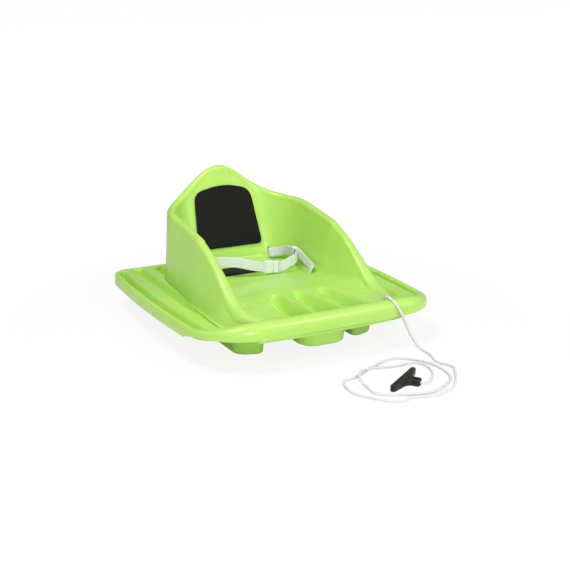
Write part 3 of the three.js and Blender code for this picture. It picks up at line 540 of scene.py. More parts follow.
# %% [markdown]
# The hull's plan is a family of rounded rectangles: the rim outside, the foot of the bucket's wall, its
# crest and the seat. All of them are stepped the same way, so that point number seven of one faces point
# seven of the others, and a wall is drawn by joining them. The solids use a coarse step, and the look uses
# a fine one.

# %% Loops of the hull
FINE = (22, 30, 66)
COARSE = (4, 6, 12)
HALF_WIDTH, WALL = 240, 3.0
BOW, BOW_MIDDLE, BOW_REACH = 9, 30, 200


def rounded_loop(half_width, front_y, rear_y, front_radius, rear_radius, steps=FINE, bulge=12):
    """A rounded rectangle seen from above, whose front is curved back towards its corners by the bulge."""
    ends, corners, sides = steps
    turn = np.arange(corners) / corners * math.pi / 2
    run = np.arange(ends) / ends
    x = np.concatenate([(half_width - front_radius) * run,
                        half_width - front_radius + front_radius * np.sin(turn),
                        np.full(sides, half_width), half_width - rear_radius + rear_radius * np.cos(turn),
                        (half_width - rear_radius) * (1 - run), [0.0]])
    side = np.arange(sides) / sides
    y = np.concatenate([np.full(ends, front_y), front_y + front_radius - front_radius * np.cos(turn),
                        front_y + front_radius + (rear_y - rear_radius - front_y - front_radius) * side,
                        rear_y - rear_radius + rear_radius * np.sin(turn), np.full(ends + 1, rear_y)])
    middle = (front_y + rear_y) / 2
    y = y + bulge * (x / half_width) ** 2 * smooth((middle - y) / (middle - front_y - front_radius))
    return np.column_stack([np.concatenate([x, -x[-2:0:-1]]), np.concatenate([y, y[-2:0:-1]])])


def loop_normals(loop):
    """The way outward at each point of a loop."""
    step = np.roll(loop, -1, 0) - np.roll(loop, 1, 0)
    step /= np.maximum(np.linalg.norm(step, axis=1)[:, None], 1e-9)
    return np.column_stack([step[:, 1], -step[:, 0]])


def front_share(count):
    """How much of the raised front lip each column has."""
    column = np.minimum(np.arange(count), count - np.arange(count))
    return 1 - smooth((column - FINE[0]) / FINE[1])


def bowed(loop):
    """Bows the hull's long sides outward, most at their middle."""
    loop[:, 0] *= 1 + BOW / HALF_WIDTH * np.clip(1 - ((loop[:, 1] - BOW_MIDDLE) / BOW_REACH) ** 2, 0, 1)
    return loop


def foot_loop(inset, steps=FINE):
    """The foot of the bucket's wall, which narrows towards the rear."""
    half_width, front_y, rear_y, narrower = 189, -239, 226, 22
    loop = rounded_loop(half_width - inset, front_y + inset, rear_y - inset, 62 - inset, 122 - inset, steps)
    loop[:, 0] *= 1 - narrower * (loop[:, 1] - front_y) / (rear_y - front_y) / half_width
    return loop


def crest_loop(steps=FINE):
    return rounded_loop(145, -232, 241, 60, 118, steps)


def seat_loop(steps=FINE):
    return rounded_loop(108, -221, 165, 36, 45, steps)


crest_y = [-232, -190, -157, -136, -108, -73, -39, 4, 72, 143, 241]
crest_z = [88.5, 89, 94, 103, 120, 144, 165, 182, 193, 202, 201]
CREST_ROLL, FOOT_Z, SEAT_FOOT_Z, FLOOR_Z = 9.0, 52.0, 54.0, 76.0


def crest_height(x, y, soft=True):
    """Top of the crest: the wings rise from lip to back, and a hump stands in the middle of the back."""
    if soft:
        near = np.linspace(-12, 12, 7)
        edge_z = np.mean([np.interp(y + d, crest_y, crest_z) for d in near], axis=0)
    else:
        edge_z = np.interp(y, crest_y, crest_z)
    spread = 79 if soft else 76
    return edge_z + np.where(np.asarray(y) > 0, 70 * np.exp(-(np.asarray(x) / spread) ** 2), 0)


print("columns", len(crest_loop()), "hump top", float(crest_height(0, 241)))

# %% [markdown]
# The rim is a rolled edge like an upside-down gutter. At the front it grows taller and wider into the lip
# that the rope pulls on, and its lower edge steps up a little where the lip begins. One closed outline is
# drawn across it, then carried round the hull's plan while its height, width and rounding change with the
# share of lip. A band like this could be swept, but a changing section is simpler to write as rows of
# points.

# %% Rim and front lip
def arc(centre_in, centre_z, radius, start, stop, count):
    angle = np.radians(np.linspace(start, stop, count))
    return [(centre_in - radius * math.cos(a), centre_z + radius * math.sin(a)) for a in angle]


STEP_Y = -138


def rim_section(share, y):
    """The rim's outline across, as distances in from the hull's plan and heights."""
    top = 72 + 20 * share
    bottom = top - (22 + 8 * share)
    width = 11 + 25 * share
    bend = 5.2 + 12.4 * share
    foot_in = 0.8 * (1 - share)
    edge = 54.0 + 8 * smooth((STEP_Y - y) / 45) + 1.5 * share if y < STEP_Y else bottom
    outer = [(-foot_in - 0.9, edge + 1.2), (-foot_in - 0.6, edge + 1.8), (-foot_in * 0.4, edge + 2.8)]
    outer += [(0, edge + 2.8 + (top - bend - edge - 2.8) * t) for t in (0.2, 0.45, 0.7)]
    outer += arc(bend, top - bend, bend, 0, 90, 9)
    outer += [(bend + (width - 2 * bend) * t, top) for t in (0.25, 0.5, 0.75)]
    outer += arc(width - bend, top - bend, bend, 90, 180, 9)
    outer += [(width, bottom + 3 + (top - bend - bottom - 3) * t) for t in (0.66, 0.33, 0.0)]
    inner = [(width - WALL, bottom + 3)]
    inner += [(width - WALL, bottom + 3 + (top - bend - bottom - 3) * t) for t in (0.33, 0.66)]
    inner += arc(width - bend, top - bend, bend - WALL, 180, 90, 5)
    inner += arc(bend, top - bend, bend - WALL, 90, 0, 5)
    inner += [(WALL, edge + 3 + (top - bend - edge - 3) * t) for t in (0.66, 0.33)]
    inner += [(2.6, edge + 2.0), (2.0 - foot_in, edge + 0.4), (0.8 - foot_in, edge),
              (-foot_in - 0.2, edge + 0.2)]
    return np.array(outer + inner)


rim_loop = bowed(rounded_loop(HALF_WIDTH, -256, 250, 92, 30))
rim_normals = loop_normals(rim_loop)
shares = front_share(len(rim_loop))
sections = []
for (x, y), (nx, ny), share in zip(rim_loop, rim_normals, shares):
    section = rim_section(share, y)
    inset = np.maximum(section[:, 0], 0)
    sections.append(np.column_stack([x - nx * inset, y - ny * inset, section[:, 1]]))
sections = np.array(sections)
rim_band = (sections.reshape(-1, 3), [face[::-1] for face in grid_faces(*sections.shape[:2], True, True)])
print("rim", sections.shape)

# %% [markdown]
# The bucket's wall ends on the seat floor, so the floor's height comes first, as one rule for any place.
# The floor is flat behind, rises a little to the front, and has three channels for small boots. Each
# channel starts in a rounded tip and gets wider and deeper towards the lip.

# %% Floor height
CHANNEL_TIP_Y, LIP_FOOT_Y = -96, -228


def floor_height(x, y):
    """Top of the seat floor, with its three channels."""
    x, y = np.asarray(x, float), np.asarray(y, float)
    rise = 12 * smooth((86 - y) / (86 + 110))
    ahead = np.clip((CHANNEL_TIP_Y - y) / (CHANNEL_TIP_Y - LIP_FOOT_Y), 0, 1)
    pitch = 51.5 + 11 * ahead
    half = 8 + 20 * ahead ** 0.6
    middle = np.clip(np.round(x / pitch), -1, 1) * pitch
    tip = smooth((CHANNEL_TIP_Y + 1 - y - 7 * ((x - middle) / half) ** 2) / 8)
    deep = 17 * tip + 14 * ahead ** 0.8
    share = smooth((half + 2 - np.abs(x - middle)) / (half * 0.4 + 3))
    return FLOOR_Z + rise - deep * share


print("floor in the middle, behind and in front", floor_height(0, 100).round(1),
      floor_height(0, -200).round(1))

# %% [markdown]
# The bucket's wall is hollow. It starts in a small flare on the flange, leans in to the crest, rolls over
# it and comes down inside to a fillet on the seat floor. The inside of the roll and of both legs closes the
# wall. The fillets matter to the eye: plastic cannot be moulded with a sharp inner corner, and the soft
# band of light along the foot of the wall shows it. The roll is thin at the back and gets wider along the
# wings.

# %% Bucket wall
FLARE_FOOT_Z, FLARE, FILLET = 59.0, 2.5, 11.0
foot, crest, seat = foot_loop(0), crest_loop(), seat_loop()
crest_out = loop_normals(crest)
roll = CREST_ROLL + 7.0 * smooth((-40 - crest[:, 1]) / 130)
centre_z = crest_height(crest[:, 0], crest[:, 1]) - roll
roll_shares = np.linspace(0, math.pi, 15)


def outer_leg(share, depth):
    lean = share ** 0.8
    z = FOOT_Z + (centre_z - FOOT_Z) * share
    flat = foot + (crest + crest_out * roll[:, None] - foot) * lean
    above = np.clip(z - FLARE_FOOT_Z, 0, FLARE)
    flare = FLARE - np.sqrt(np.maximum(FLARE ** 2 - (FLARE - above) ** 2, 0))
    flat = flat + crest_out * (flare * (depth == 0) - depth)[:, None]
    return np.column_stack([flat, z])


def inner_leg(share, depth):
    z = centre_z + (SEAT_FOOT_Z - centre_z) * share
    top = crest - crest_out * roll[:, None]
    flat = top + (seat - top) * share
    if depth == 0:
        floor_z = floor_height(flat[:, 0] * 0.96, flat[:, 1])
        above = np.clip(z - floor_z, 0, FILLET)
        fillet = FILLET - np.sqrt(np.maximum(FILLET ** 2 - (FILLET - above) ** 2, 0))
        flat = flat - crest_out * fillet[:, None]
    return np.column_stack([flat + crest_out * depth, z])


def crest_arc(depth, angle):
    radius = roll - depth
    flat = crest + crest_out * (radius * math.cos(angle))[:, None]
    return np.column_stack([flat, centre_z + radius * math.sin(angle)])


foot_rows = np.concatenate([np.linspace(0, 0.12, 12), np.linspace(0.15, 0.94, 16)])
seat_rows = np.concatenate([np.linspace(0.06, 0.68, 16), np.linspace(0.71, 1.0, 26)])
rows = [outer_leg(share, 0.0) for share in foot_rows]
rows += [crest_arc(0.0, angle) for angle in roll_shares]
rows += [inner_leg(share, 0.0) for share in seat_rows]
rows += [inner_leg(share, WALL) for share in (1.0, 0.66, 0.33, 0.06)]
rows += [crest_arc(WALL, angle) for angle in roll_shares[::-2]]
rows += [outer_leg(share, WALL) for share in (0.9, 0.5, 0.15, 0.0)]
wall_rows = np.array(rows).transpose(1, 0, 2)
wall_band = (wall_rows.reshape(-1, 3),
             [face[::-1] for face in grid_faces(*wall_rows.shape[:2], True, True)])
print("wall", wall_rows.shape)

# %% [markdown]
# The seat floor is a sheet of points lifted by the rule for its height. The lines are close together in
# front, where the channels bend, and further apart behind, where the pad lies flat. The sheet is cut to the
# inside of the wall and ends unseen in its hollow.

# %% Seat floor
def sheet_points(columns, lines, height, thickness):
    x, y = np.meshgrid(columns, lines)
    top = np.column_stack([x.ravel(), y.ravel(), height(x, y).ravel()])
    under = top - (0, 0, thickness)
    width, deep = len(columns), len(lines)
    faces = grid_faces(deep, width)
    offset = width * deep
    faces += [tuple(v + offset for v in face[::-1]) for face in grid_faces(deep, width)]
    edge = list(range(width)) + [i * width + width - 1 for i in range(1, deep)]
    edge += [(deep - 1) * width + j for j in range(width - 2, -1, -1)]
    edge += [i * width for i in range(deep - 2, 0, -1)]
    for a, b in zip(edge, edge[1:] + edge[:1]):
        faces.append((b, a, a + offset, b + offset))
    return np.concatenate([top, under]), faces


def inner_ring(z, out):
    """The inner wall's loop at a height, round the roll higher up, moved out into the wall's hollow."""
    share = np.maximum(centre_z - z, 0) / (centre_z - SEAT_FOOT_Z)
    over = np.clip((z - centre_z) / roll, 0, 0.98)
    top = crest - crest_out * (roll * np.sqrt(1 - over ** 2))[:, None]
    flat = top + (seat - crest + crest_out * roll[:, None]) * share[:, None] + crest_out * out
    return np.column_stack([flat, np.full(len(flat), z)])


columns = np.linspace(-146, 146, 118)
lines = np.concatenate([np.linspace(-231, -76, 63), np.linspace(-66, 183, 18)])
floor_part = mesh_object("floor_part", *sheet_points(columns, lines, floor_height, WALL))
clip = stacked_rings([inner_ring(z, 1.5)
                      for z in (40.0, 60.0, 70.0, 75.0, 79.0, 82.0, 84.5, 86.5, 88.3, 100.0)])
cut(floor_part, [mesh_object("floor_clip", *clip)], "INTERSECT")
print("floor", triangles(floor_part))

# %% [markdown]
# Under the floor a tray closes the hull, and three runners stand under it. Each is a stack of rounded loops
# with a small radius at the ground, so that it slides. The photograph shows only their front ends, so their
# length and the two drain holes behind are a guess from such sleds.

# %% Tray and runners
def level(loop, z):
    return np.column_stack([loop, np.full(len(loop), z)])


TRAY = (10, 14, 16)
low_loop = rounded_loop(155, -195, 192, 62, 88, TRAY)
tray_edge = rounded_loop(176, -206, 216, 70, 112, TRAY)
tray_levels = []
for t in np.linspace(0, math.pi / 2, 7):
    loop = low_loop + (tray_edge - low_loop) * math.sin(t)
    tray_levels.append(level(loop, 38 + 14 * (1 - math.cos(t))))
tray_levels.append(level(foot_loop(1.5, TRAY), 64.0))
tray_part = mesh_object("tray_part", *stacked_rings(tray_levels))


def runner(name, x, half_width, front_y, corner, slant, low, high):
    """A runner whose front can be set back towards its outer side."""
    def loop(wider):
        round_off = corner + wider
        ring = rounded_loop(half_width + wider, front_y - wider, 196 + wider, round_off, round_off,
                            (4, 10, 8), 0)
        ring[:, 1] += np.where(ring[:, 1] < 0, slant * np.sign(x) * ring[:, 0], 0)
        return ring + (x, 0)

    levels = []
    for t in np.linspace(0, math.pi / 2, 9):
        levels.append(level(loop(-3.5 + 5.8 * math.sin(t)), low + SOLE_ROUND * (1 - math.cos(t))))
    for t in np.linspace(0, 1, 9)[1:]:
        levels.append(level(loop(2.3 + 2.7 * t), low + SOLE_ROUND + (high - low - SOLE_ROUND) * t))
    return mesh_object(name, *stacked_rings(levels))


RUNNER_X, SOLE_ROUND = 119, 4.5
runners = [runner("runner_left", -RUNNER_X, 24, -150, 17, 0.35, 0.0, 41.0),
           runner("runner_centre", 0, 44, -219, 30, 0.0, 21.0, 53.0),
           runner("runner_right", RUNNER_X, 24, -150, 17, 0.35, 0.0, 41.0)]
print("tray", triangles(tray_part), "runner", triangles(runners[0]))

# %% [markdown]
# The flange between the rim and the bucket is a main form with a plain rule: ridges forty-one millimetres
# apart run from front to back, the outermost one bows with the hull's side, and the grooves run out before
# the lip. Geometry nodes make it from a grid, with the ridges as sums on each point's place, so their
# spacing, width, depth and bow stay named inputs. It is then trimmed to the rim's plan, and the bucket is
# cut out of it.

# %% Ribbed flange
ribs, given, add, close = wire_tree("ribbed_flange", {
    "Width": 0.49, "Length": 0.5, "Pitch": 0.041, "Ridge": 0.015, "Slope": 0.0115, "Depth": 0.018,
    "Top": 0.0722, "Skin": 0.003, "Bow": BOW * MM, "Bow middle": BOW_MIDDLE * MM, "Bow reach": BOW_REACH * MM,
    "Groove start": -0.165, "Groove full": -0.12})


def number(operation, *values):
    return add("ShaderNodeMath", {"operation": operation}, dict(enumerate(values))).outputs[0]


sheet = add("GeometryNodeMeshGrid", {},
            {"Size X": given["Width"], "Size Y": given["Length"], "Vertices X": 491, "Vertices Y": 40})
spot = add("ShaderNodeSeparateXYZ", {}, {0: add("GeometryNodeInputPosition").outputs[0]})
aside = number("ABSOLUTE", spot.outputs["X"])
from_middle = number("DIVIDE", number("SUBTRACT", spot.outputs["Y"], given["Bow middle"]),
                     given["Bow reach"])
bell = number("MAXIMUM", number("SUBTRACT", 1.0, number("POWER", number("ABSOLUTE", from_middle), 2.0)),
              0.0)
outer = add("ShaderNodeMapRange", {"interpolation_type": "SMOOTHSTEP"},
            {0: aside, 1: 0.18, 2: 0.225}).outputs[0]
shift = number("MULTIPLY", number("MULTIPLY", given["Bow"], bell), outer)
off = number("PINGPONG", number("SUBTRACT", aside, shift), number("MULTIPLY", given["Pitch"], 0.5))
past = number("SUBTRACT", off, number("MULTIPLY", given["Ridge"], 0.5))
fall = add("ShaderNodeMapRange", {"interpolation_type": "SMOOTHERSTEP"},
           {0: past, 1: 0.0, 2: given["Slope"], 3: 0.0, 4: 1.0}).outputs[0]
run_out = add("ShaderNodeMapRange", {"interpolation_type": "SMOOTHSTEP"},
              {0: spot.outputs["Y"], 1: given["Groove start"], 2: given["Groove full"],
               3: 0.35, 4: 1.0}).outputs[0]
height = number("SUBTRACT", given["Top"],
                number("MULTIPLY", number("MULTIPLY", fall, given["Depth"]), run_out))
raised = add("ShaderNodeCombineXYZ", {}, {0: spot.outputs["X"], 1: spot.outputs["Y"], 2: height})
shaped = add("GeometryNodeSetPosition", {},
             {"Geometry": sheet.outputs["Mesh"], "Position": raised.outputs[0]})
down = add("ShaderNodeCombineXYZ", {}, {2: number("MULTIPLY", given["Skin"], -1.0)})
skin = add("GeometryNodeExtrudeMesh", {},
           {"Mesh": shaped.outputs[0], "Offset": down.outputs[0], "Offset Scale": 1.0,
            "Individual": False})
turned_over = add("GeometryNodeFlipFaces", {}, {"Mesh": skin.outputs["Mesh"]})
closed = add("GeometryNodeJoinGeometry", {}, {"Geometry": turned_over.outputs[0]})
closed.id_data.links.new(shaped.outputs[0], closed.inputs["Geometry"])
merged = add("GeometryNodeMergeByDistance", {}, {"Geometry": closed.outputs[0], "Distance": 0.00001})
close(merged.outputs[0])
flange = grow(mesh_object("hull_flange", [(0, 0, 0)], []), ribs, {"Finish": hull_green})
under_rim = bowed(rounded_loop(233, -230, 243, 85, 23))
outline_tool = mesh_object("outline_tool", *stacked_rings([level(under_rim, z) for z in (45, 90)]))
bucket_tool = mesh_object("bucket_tool", *stacked_rings([level(foot_loop(1.5), z) for z in (40, 95)]))
cut(flange, [outline_tool], "INTERSECT")
cut(flange, [bucket_tool])
print("flange", triangles(flange), "triangles, top", round(max(v.co.z for v in flange.data.vertices), 4))

# %% [markdown]
# The small parts and the cutters share a few shapes: a block with rounded edges, a plain box and a tube
# round a line. Each is drawn at the origin and then turned into a frame, which is a place with three
# directions.

# %% Small shapes
def frame_at(origin, along, across, up):
    made = np.eye(4)
    made[:3, 0], made[:3, 1], made[:3, 2], made[:3, 3] = along, across, up, origin
    return made


def unit(vector):
    return np.asarray(vector, float) / np.linalg.norm(vector)


def inside(frame_matrix, along, across=0.0, up=0.0):
    return (frame_matrix @ np.array([along, across, up, 1.0]))[:3]


def rounded_outline(corners, steps=6):
    """A closed outline whose corners are each rounded by their own radius."""
    points = []
    count = len(corners)
    for i, (x, y, radius) in enumerate(corners):
        corner = np.array([x, y], float)
        before = np.array(corners[i - 1][:2], float)
        after = np.array(corners[(i + 1) % count][:2], float)
        start = corner + (before - corner) * min(radius / np.linalg.norm(before - corner), 0.5)
        stop = corner + (after - corner) * min(radius / np.linalg.norm(after - corner), 0.5)
        for t in np.linspace(0, 1, steps):
            points.append((1 - t) ** 2 * start + 2 * t * (1 - t) * corner + t * t * stop)
    return np.array(points)


def slab(outline, thickness, bend):
    """Rings of an outline pushed up into a slab, with its upper and lower edges rounded."""
    inward = -loop_normals(outline)
    rings = []
    for angle in np.linspace(0, math.pi / 2, 5):
        rings.append(level(outline + inward * bend * (1 - math.sin(angle)), bend * (1 - math.cos(angle))))
    for angle in np.linspace(math.pi / 2, math.pi, 5):
        rings.append(level(outline + inward * bend * (1 - math.sin(angle)),
                           thickness - bend * (1 + math.cos(angle))))
    return stacked_rings(rings)


def turned(points, matrix):
    return np.asarray(points) @ matrix[:3, :3].T + matrix[:3, 3]


def block(name, length, thickness, height, corner, bend, matrix, middle=(0, 0, 0)):
    """A block along X, thin along Y, with its face's corners and all its edges rounded."""
    outline = rounded_outline([(-length / 2, -height / 2, corner), (length / 2, -height / 2, corner),
                               (length / 2, height / 2, corner), (-length / 2, height / 2, corner)])
    points, faces = slab(outline, thickness, bend)
    points = np.column_stack([points[:, 0], thickness / 2 - points[:, 2], points[:, 1]]) + middle
    return mesh_object(name, turned(points, matrix), faces)


def box_tool(length, depth, height, matrix, middle=(0, 0, 0)):
    corners = [(x, y, z) for x in (-0.5, 0.5) for y in (-0.5, 0.5) for z in (-0.5, 0.5)]
    points = np.array(corners) * (length, depth, height) + middle
    faces = [(0, 1, 3, 2), (4, 6, 7, 5), (0, 4, 5, 1), (2, 3, 7, 6), (0, 2, 6, 4), (1, 5, 7, 3)]
    return mesh_object("box_tool", turned(points, matrix), faces)


def tube_points(line, radius, sides):
    """Rings round a line, each turned as little as possible from the last."""
    way = np.gradient(line, axis=0)
    way /= np.linalg.norm(way, axis=1)[:, None]
    side = unit(np.cross(way[0], (0.3, 0.2, 1.0)))
    rings = []
    for point, ahead in zip(line, way):
        side = unit(side - ahead * side.dot(ahead))
        other = np.cross(ahead, side)
        angle = np.arange(sides) / sides * 2 * math.pi
        rings.append(point + radius * (np.cos(angle)[:, None] * side + np.sin(angle)[:, None] * other))
    return np.array(rings)


def bore_tool(line, radius, sides):
    return mesh_object("bore_tool", *stacked_rings(tube_points(np.array(line), radius, sides)))


print("small shapes ready")

# %% [markdown]
# The belt leaves each side of the seat through a slot cut in the back corner, held behind by a bar. The
# frame of each slot is worked out from the coarse loops of the solids, so that straps, bars and slots all
# agree. The slots and the rope's hole are then cut out of the finished skin with simple cutters.

# %% Slots and rope hole
SLOT_Z, SLOT_GAP, HOLE_RADIUS = 87.3, 4.6, 3.1


def slot_frame(side):
    column = sum(COARSE) + 4
    crest_points = crest_loop(COARSE)
    nx, ny = loop_normals(crest_points)[column]
    cx, cy = crest_points[column]
    sx, sy = seat_loop(COARSE)[column]
    top = np.array([cx - nx * CREST_ROLL, cy - ny * CREST_ROLL,
                    float(crest_height(cx, cy, False)) - CREST_ROLL])
    low = np.array([sx, sy, SEAT_FOOT_Z])
    point = low + (top - low) * (SLOT_Z - low[2]) / (top[2] - low[2])
    rise = unit(top - low)
    out = np.cross(np.array([-ny, nx, 0.0]), rise)
    mirror = np.array([side, 1, 1])
    point, rise, out = point * mirror, rise * mirror, out * mirror
    return frame_at(point, out, np.cross(rise, out), rise)


slots = {side: slot_frame(side) for side in (-1, 1)}
hole_line = curve_through(rope_mm[:6], 10)
rim = mesh_object("rim_part", *rim_band)
cut(rim, [bore_tool(hole_line, HOLE_RADIUS, 20)])
wall_part = mesh_object("wall_part", *wall_band)
cut(wall_part,
    [box_tool(24, SLOT_GAP, 23.5, slots[-1]), box_tool(24, SLOT_GAP, 24.5, slots[1], (0, 0, 1.2)),
     bore_tool(hole_line, HOLE_RADIUS, 20)])
print("rim", triangles(rim), "wall", triangles(wall_part))

# %% [markdown]
# The parts are now joined into one closed moulding, so that no face is left inside it.
# Two drain holes are bored from behind into the outer runners.

# %% One hull
hull = wall_part
cut(hull, [floor_part, tray_part, *runners, flange, rim], "UNION")
cut(hull, [bore_tool([(x, y, 19.0) for y in (185, 195, 205, 225)], 6, 24) for x in (-RUNNER_X, RUNNER_X)])
hull.name = "sled_hull"
finished(hull, hull_green, 38)
print("hull", triangles(hull), "triangles")

# %% [markdown]
# The two pads are cut from black foam four millimetres thick. The seat pad lies flat against the foot of
# the back, and the back pad is stuck to the curved back and follows it. Each is a stack of rings that
# shrink from its outline to its middle on both faces, pushed out to a soft crown, with its edge drawn down
# where the foam was cut.

# %% Pads
def wall_depth(x, z):
    """How far back the inner wall stands behind a place on it."""
    column = slice(sum(FINE), len(crest) // 2 + 1)
    share = (centre_z[column] - z) / (centre_z[column] - SEAT_FOOT_Z)
    top = (crest - crest_out * CREST_ROLL)[column]
    flat = top + (seat[column] - top) * share[:, None]
    return float(np.interp(abs(x), flat[::-1, 0], flat[::-1, 1]))


def pad(name, outline, middle, place_on):
    """Rings from the outline's edge to its middle, on both faces of a soft sheet."""
    middle = np.array(middle)
    shares = np.linspace(0.04, 0.985, 12)
    edge_turn = np.radians(70)
    profile = [(share, 0.0) for share in shares]
    for turn in np.linspace(-edge_turn, edge_turn, 7):
        away = PAD_THICK * 0.42 * (1 + math.sin(turn) / math.sin(edge_turn))
        profile.append((1 - 0.016 * (1 - math.cos(turn)), away))
    profile += [(share, PAD_THICK * (0.86 + 0.14 * (1 - share ** 6))) for share in shares[::-1]]
    levels = [[place_on(*(middle + (p - middle) * share), away) for p in outline]
              for share, away in profile]
    return finished(mesh_object(name, *stacked_rings(levels), 60), pad_black)


PAD_THICK, low_z, high_z = 4.0, 107, 221
slope = unit((0, wall_depth(0, high_z) - wall_depth(0, low_z), high_z - low_z))
away_from_wall = np.cross((1, 0, 0), slope)
rng = np.random.default_rng(7)
ripple = rng.uniform(0, 2 * math.pi, 3)


def soft(x, z):
    """A slow unevenness of the foam, a third of a millimetre high at most."""
    return 0.12 * (math.sin(x / 17 + ripple[0]) + math.sin(z / 13 + ripple[1])
                   + math.sin((x + z) / 23 + ripple[2]))


def on_back(x, z, away):
    lift = 0.5 + away + (soft(x, z) if away > 2 else 0)
    return np.array([x, wall_depth(x, z), z]) + away_from_wall * lift


def on_seat(x, y, away):
    return np.array([x, y, FLOOR_Z + 0.3 + away + (soft(x, y) * 0.5 if away > 2 else 0)])


back_outline = rounded_outline([(-73, 107.5, 12), (73, 107.5, 12), (63.5, 219, 20), (0, 235, 46),
                                (-63.5, 219, 20)], 12)
back_pad = pad("back_pad_foam", back_outline, (0.0, 164.0), on_back)
seat_outline = rounded_outline([(-100, 86, 12), (100, 86, 12), (58, 130, 12), (-58, 130, 12)], 12)
seat_pad = pad("seat_pad_foam", seat_outline, (0.0, 106.0), on_seat)
print("pads", triangles(back_pad), triangles(seat_pad))

# %% [markdown]
# The belt is flat webbing twenty millimetres wide. It is modelled directly, because a cloth simulation
# would eat a strap this thin. Each step of a strap is a thin rounded section, and its place along and
# across is stored for the weave.

# %% Webbing strip
def even_curve(places):
    """Steps of a millimetre along the solids' centripetal curve, with the direction at each."""
    dense = curve_through(places, 60)
    length = np.linalg.norm(np.diff(dense, axis=0), axis=1).sum()
    points, _ = even_steps(dense, int(length))
    way = np.gradient(points, axis=0)
    return points, way / np.linalg.norm(way, axis=1)[:, None], length


WEB_WIDTH, WEB_THICK, WEB_EDGE, SLACK = 20.0, 1.4, 0.35, 0.35


def web_side(side):
    """One flat face of a strap's section and the rounded edge that follows it."""
    flat_half = WEB_WIDTH / 2 - WEB_EDGE
    face = [(side * t * flat_half, -side) for t in np.linspace(-1, 1, 11)]
    turns = [math.radians(a) for a in (-45, 0, 45)]
    return face + [(side * (flat_half + WEB_EDGE * math.cos(a)), side * math.sin(a)) for a in turns]


def strap(name, places, end_lean, lean_at=lambda share: share ** 2):
    """A strap along a line, which stands upright at its start and leans over towards its end."""
    points, way, length = even_curve(places)
    outline = web_side(1) + web_side(-1)
    rings, ways = [], []
    for i, (point, ahead) in enumerate(zip(points, way)):
        share = i / (len(points) - 1)
        lean = lean_at(share)
        across = np.array((0.0, 0.0, 1.0)) * (1 - lean) + np.asarray(end_lean, float) * lean
        across = unit(across - ahead * across.dot(ahead))
        face = np.cross(across, ahead)
        rings.append([point + across * u + face * v * WEB_THICK / 2 for u, v in outline])
        ways.append([(share * length * MM, u * MM, v * MM) for u, v in outline])
    made = mesh_object(name, *stacked_rings(rings), 50)
    stored = made.data.attributes.new("strap_way", "FLOAT_VECTOR", "POINT")
    stored.data.foreach_set("vector", np.array(ways).reshape(-1))
    return finished(made, webbing), points, length


print("webbing section of", len(web_side(1) + web_side(-1)), "points")

# %% [markdown]
# The belt's lines run from the buckle to each slot. On the right the strap is folded back through a slider,
# so that a spare tail hangs forward, and a second strap holds the slider from the right slot. The first
# places of each line lie inside the part that holds it, so that no end shows.

# %% Belt lines
def turn_about(axis, degrees):
    return np.array(Matrix.Rotation(math.radians(degrees), 4, axis))


buckle = np.array(Matrix.Translation((30.0, 57.0, 93.0))) @ turn_about("Z", -3.0) @ turn_about("Y", 6.0)
SOCKET_LONG, PLUG_LONG = 21.0, 13.0
socket_middle, plug_middle = -(PLUG_LONG + SLACK) / 2, (SOCKET_LONG + SLACK) / 2
slot_x = slots[1][0, 3]
slider_way = unit((0.2, 0.97, 0.06))
slider_side = unit(np.cross((0.0, 0.0, 1.0), slider_way))
slider = frame_at((slot_x + 11.8, 84.0, 107.0), slider_way, slider_side, np.cross(slider_way, slider_side))
LAYER_GAP, SLIDER_LONG = 0.5, 11.0


def slot_way(side):
    """Three places on a strap's way out of its slot, from the back of the wall."""
    return [inside(slots[side], along) for along in (WALL, 0, -8.0)]


def buckle_way(end, side):
    """Three places on a strap's way out of the buckle, round the end of one half."""
    return [inside(buckle, end + side * along) for along in (-4.6, 0, 5.0)]


left_places = buckle_way(socket_middle - SOCKET_LONG / 2, -1)
left_places += [(-12, 60, 100), (-38, 70, 106.5), (-66, 88, 107.5), (-88, 116, 103), *slot_way(-1)[::-1]]
left_strap, left_line, left_length = strap("belt_left", left_places, slots[-1][:3, 2])
start = buckle_way(plug_middle + PLUG_LONG / 2, 1)
reach = SLIDER_LONG / 2 + SLACK
through = [inside(slider, along, -(WEB_THICK + LAYER_GAP) / 2) for along in (-reach, 0, reach)]
right_way = [np.array((start[2][0] + (through[0][0] - start[2][0]) * share, y, z))
             for share, y, z in ((0.34, 54, 96.5), (0.67, 55, 102.5), (0.9, 63, 106))]
tail = [(15.8, 94.5, 107.5), (20.3, 93.5, 107), (23.0, 85, 105), (24.6, 64, 97), (23.0, 40, 91),
        (16.0, 16, 87.5)]
right_places = start + right_way + through + [(slot_x + x, y, z) for x, y, z in tail]
right_strap, _, right_length = strap("belt_right", right_places, (0.9, 0.0, 0.3),
                                     lambda share: 0.4 * smooth((share - 0.8) / 0.2))
through = [inside(slider, along, (WEB_THICK + LAYER_GAP) / 2) for along in (0, reach)]
back_way = [(slot_x + x, y, z) for x, y, z in ((12.8, 108, 106), (14.6, 130, 101.5), (11.7, 148, 94.5))]
back_strap, _, back_length = strap("belt_back", through + back_way + slot_way(1)[::-1], slots[1][:3, 2])
print("webbing lengths mm", round(left_length, 1), round(right_length, 1), round(back_length, 1))

# %% [markdown]
# The buckle is a side-release pair. The socket on the left is a hollow block, and the plug on the right
# slides in with two prongs. Both have softly rounded edges and a pocket where the webbing is held.

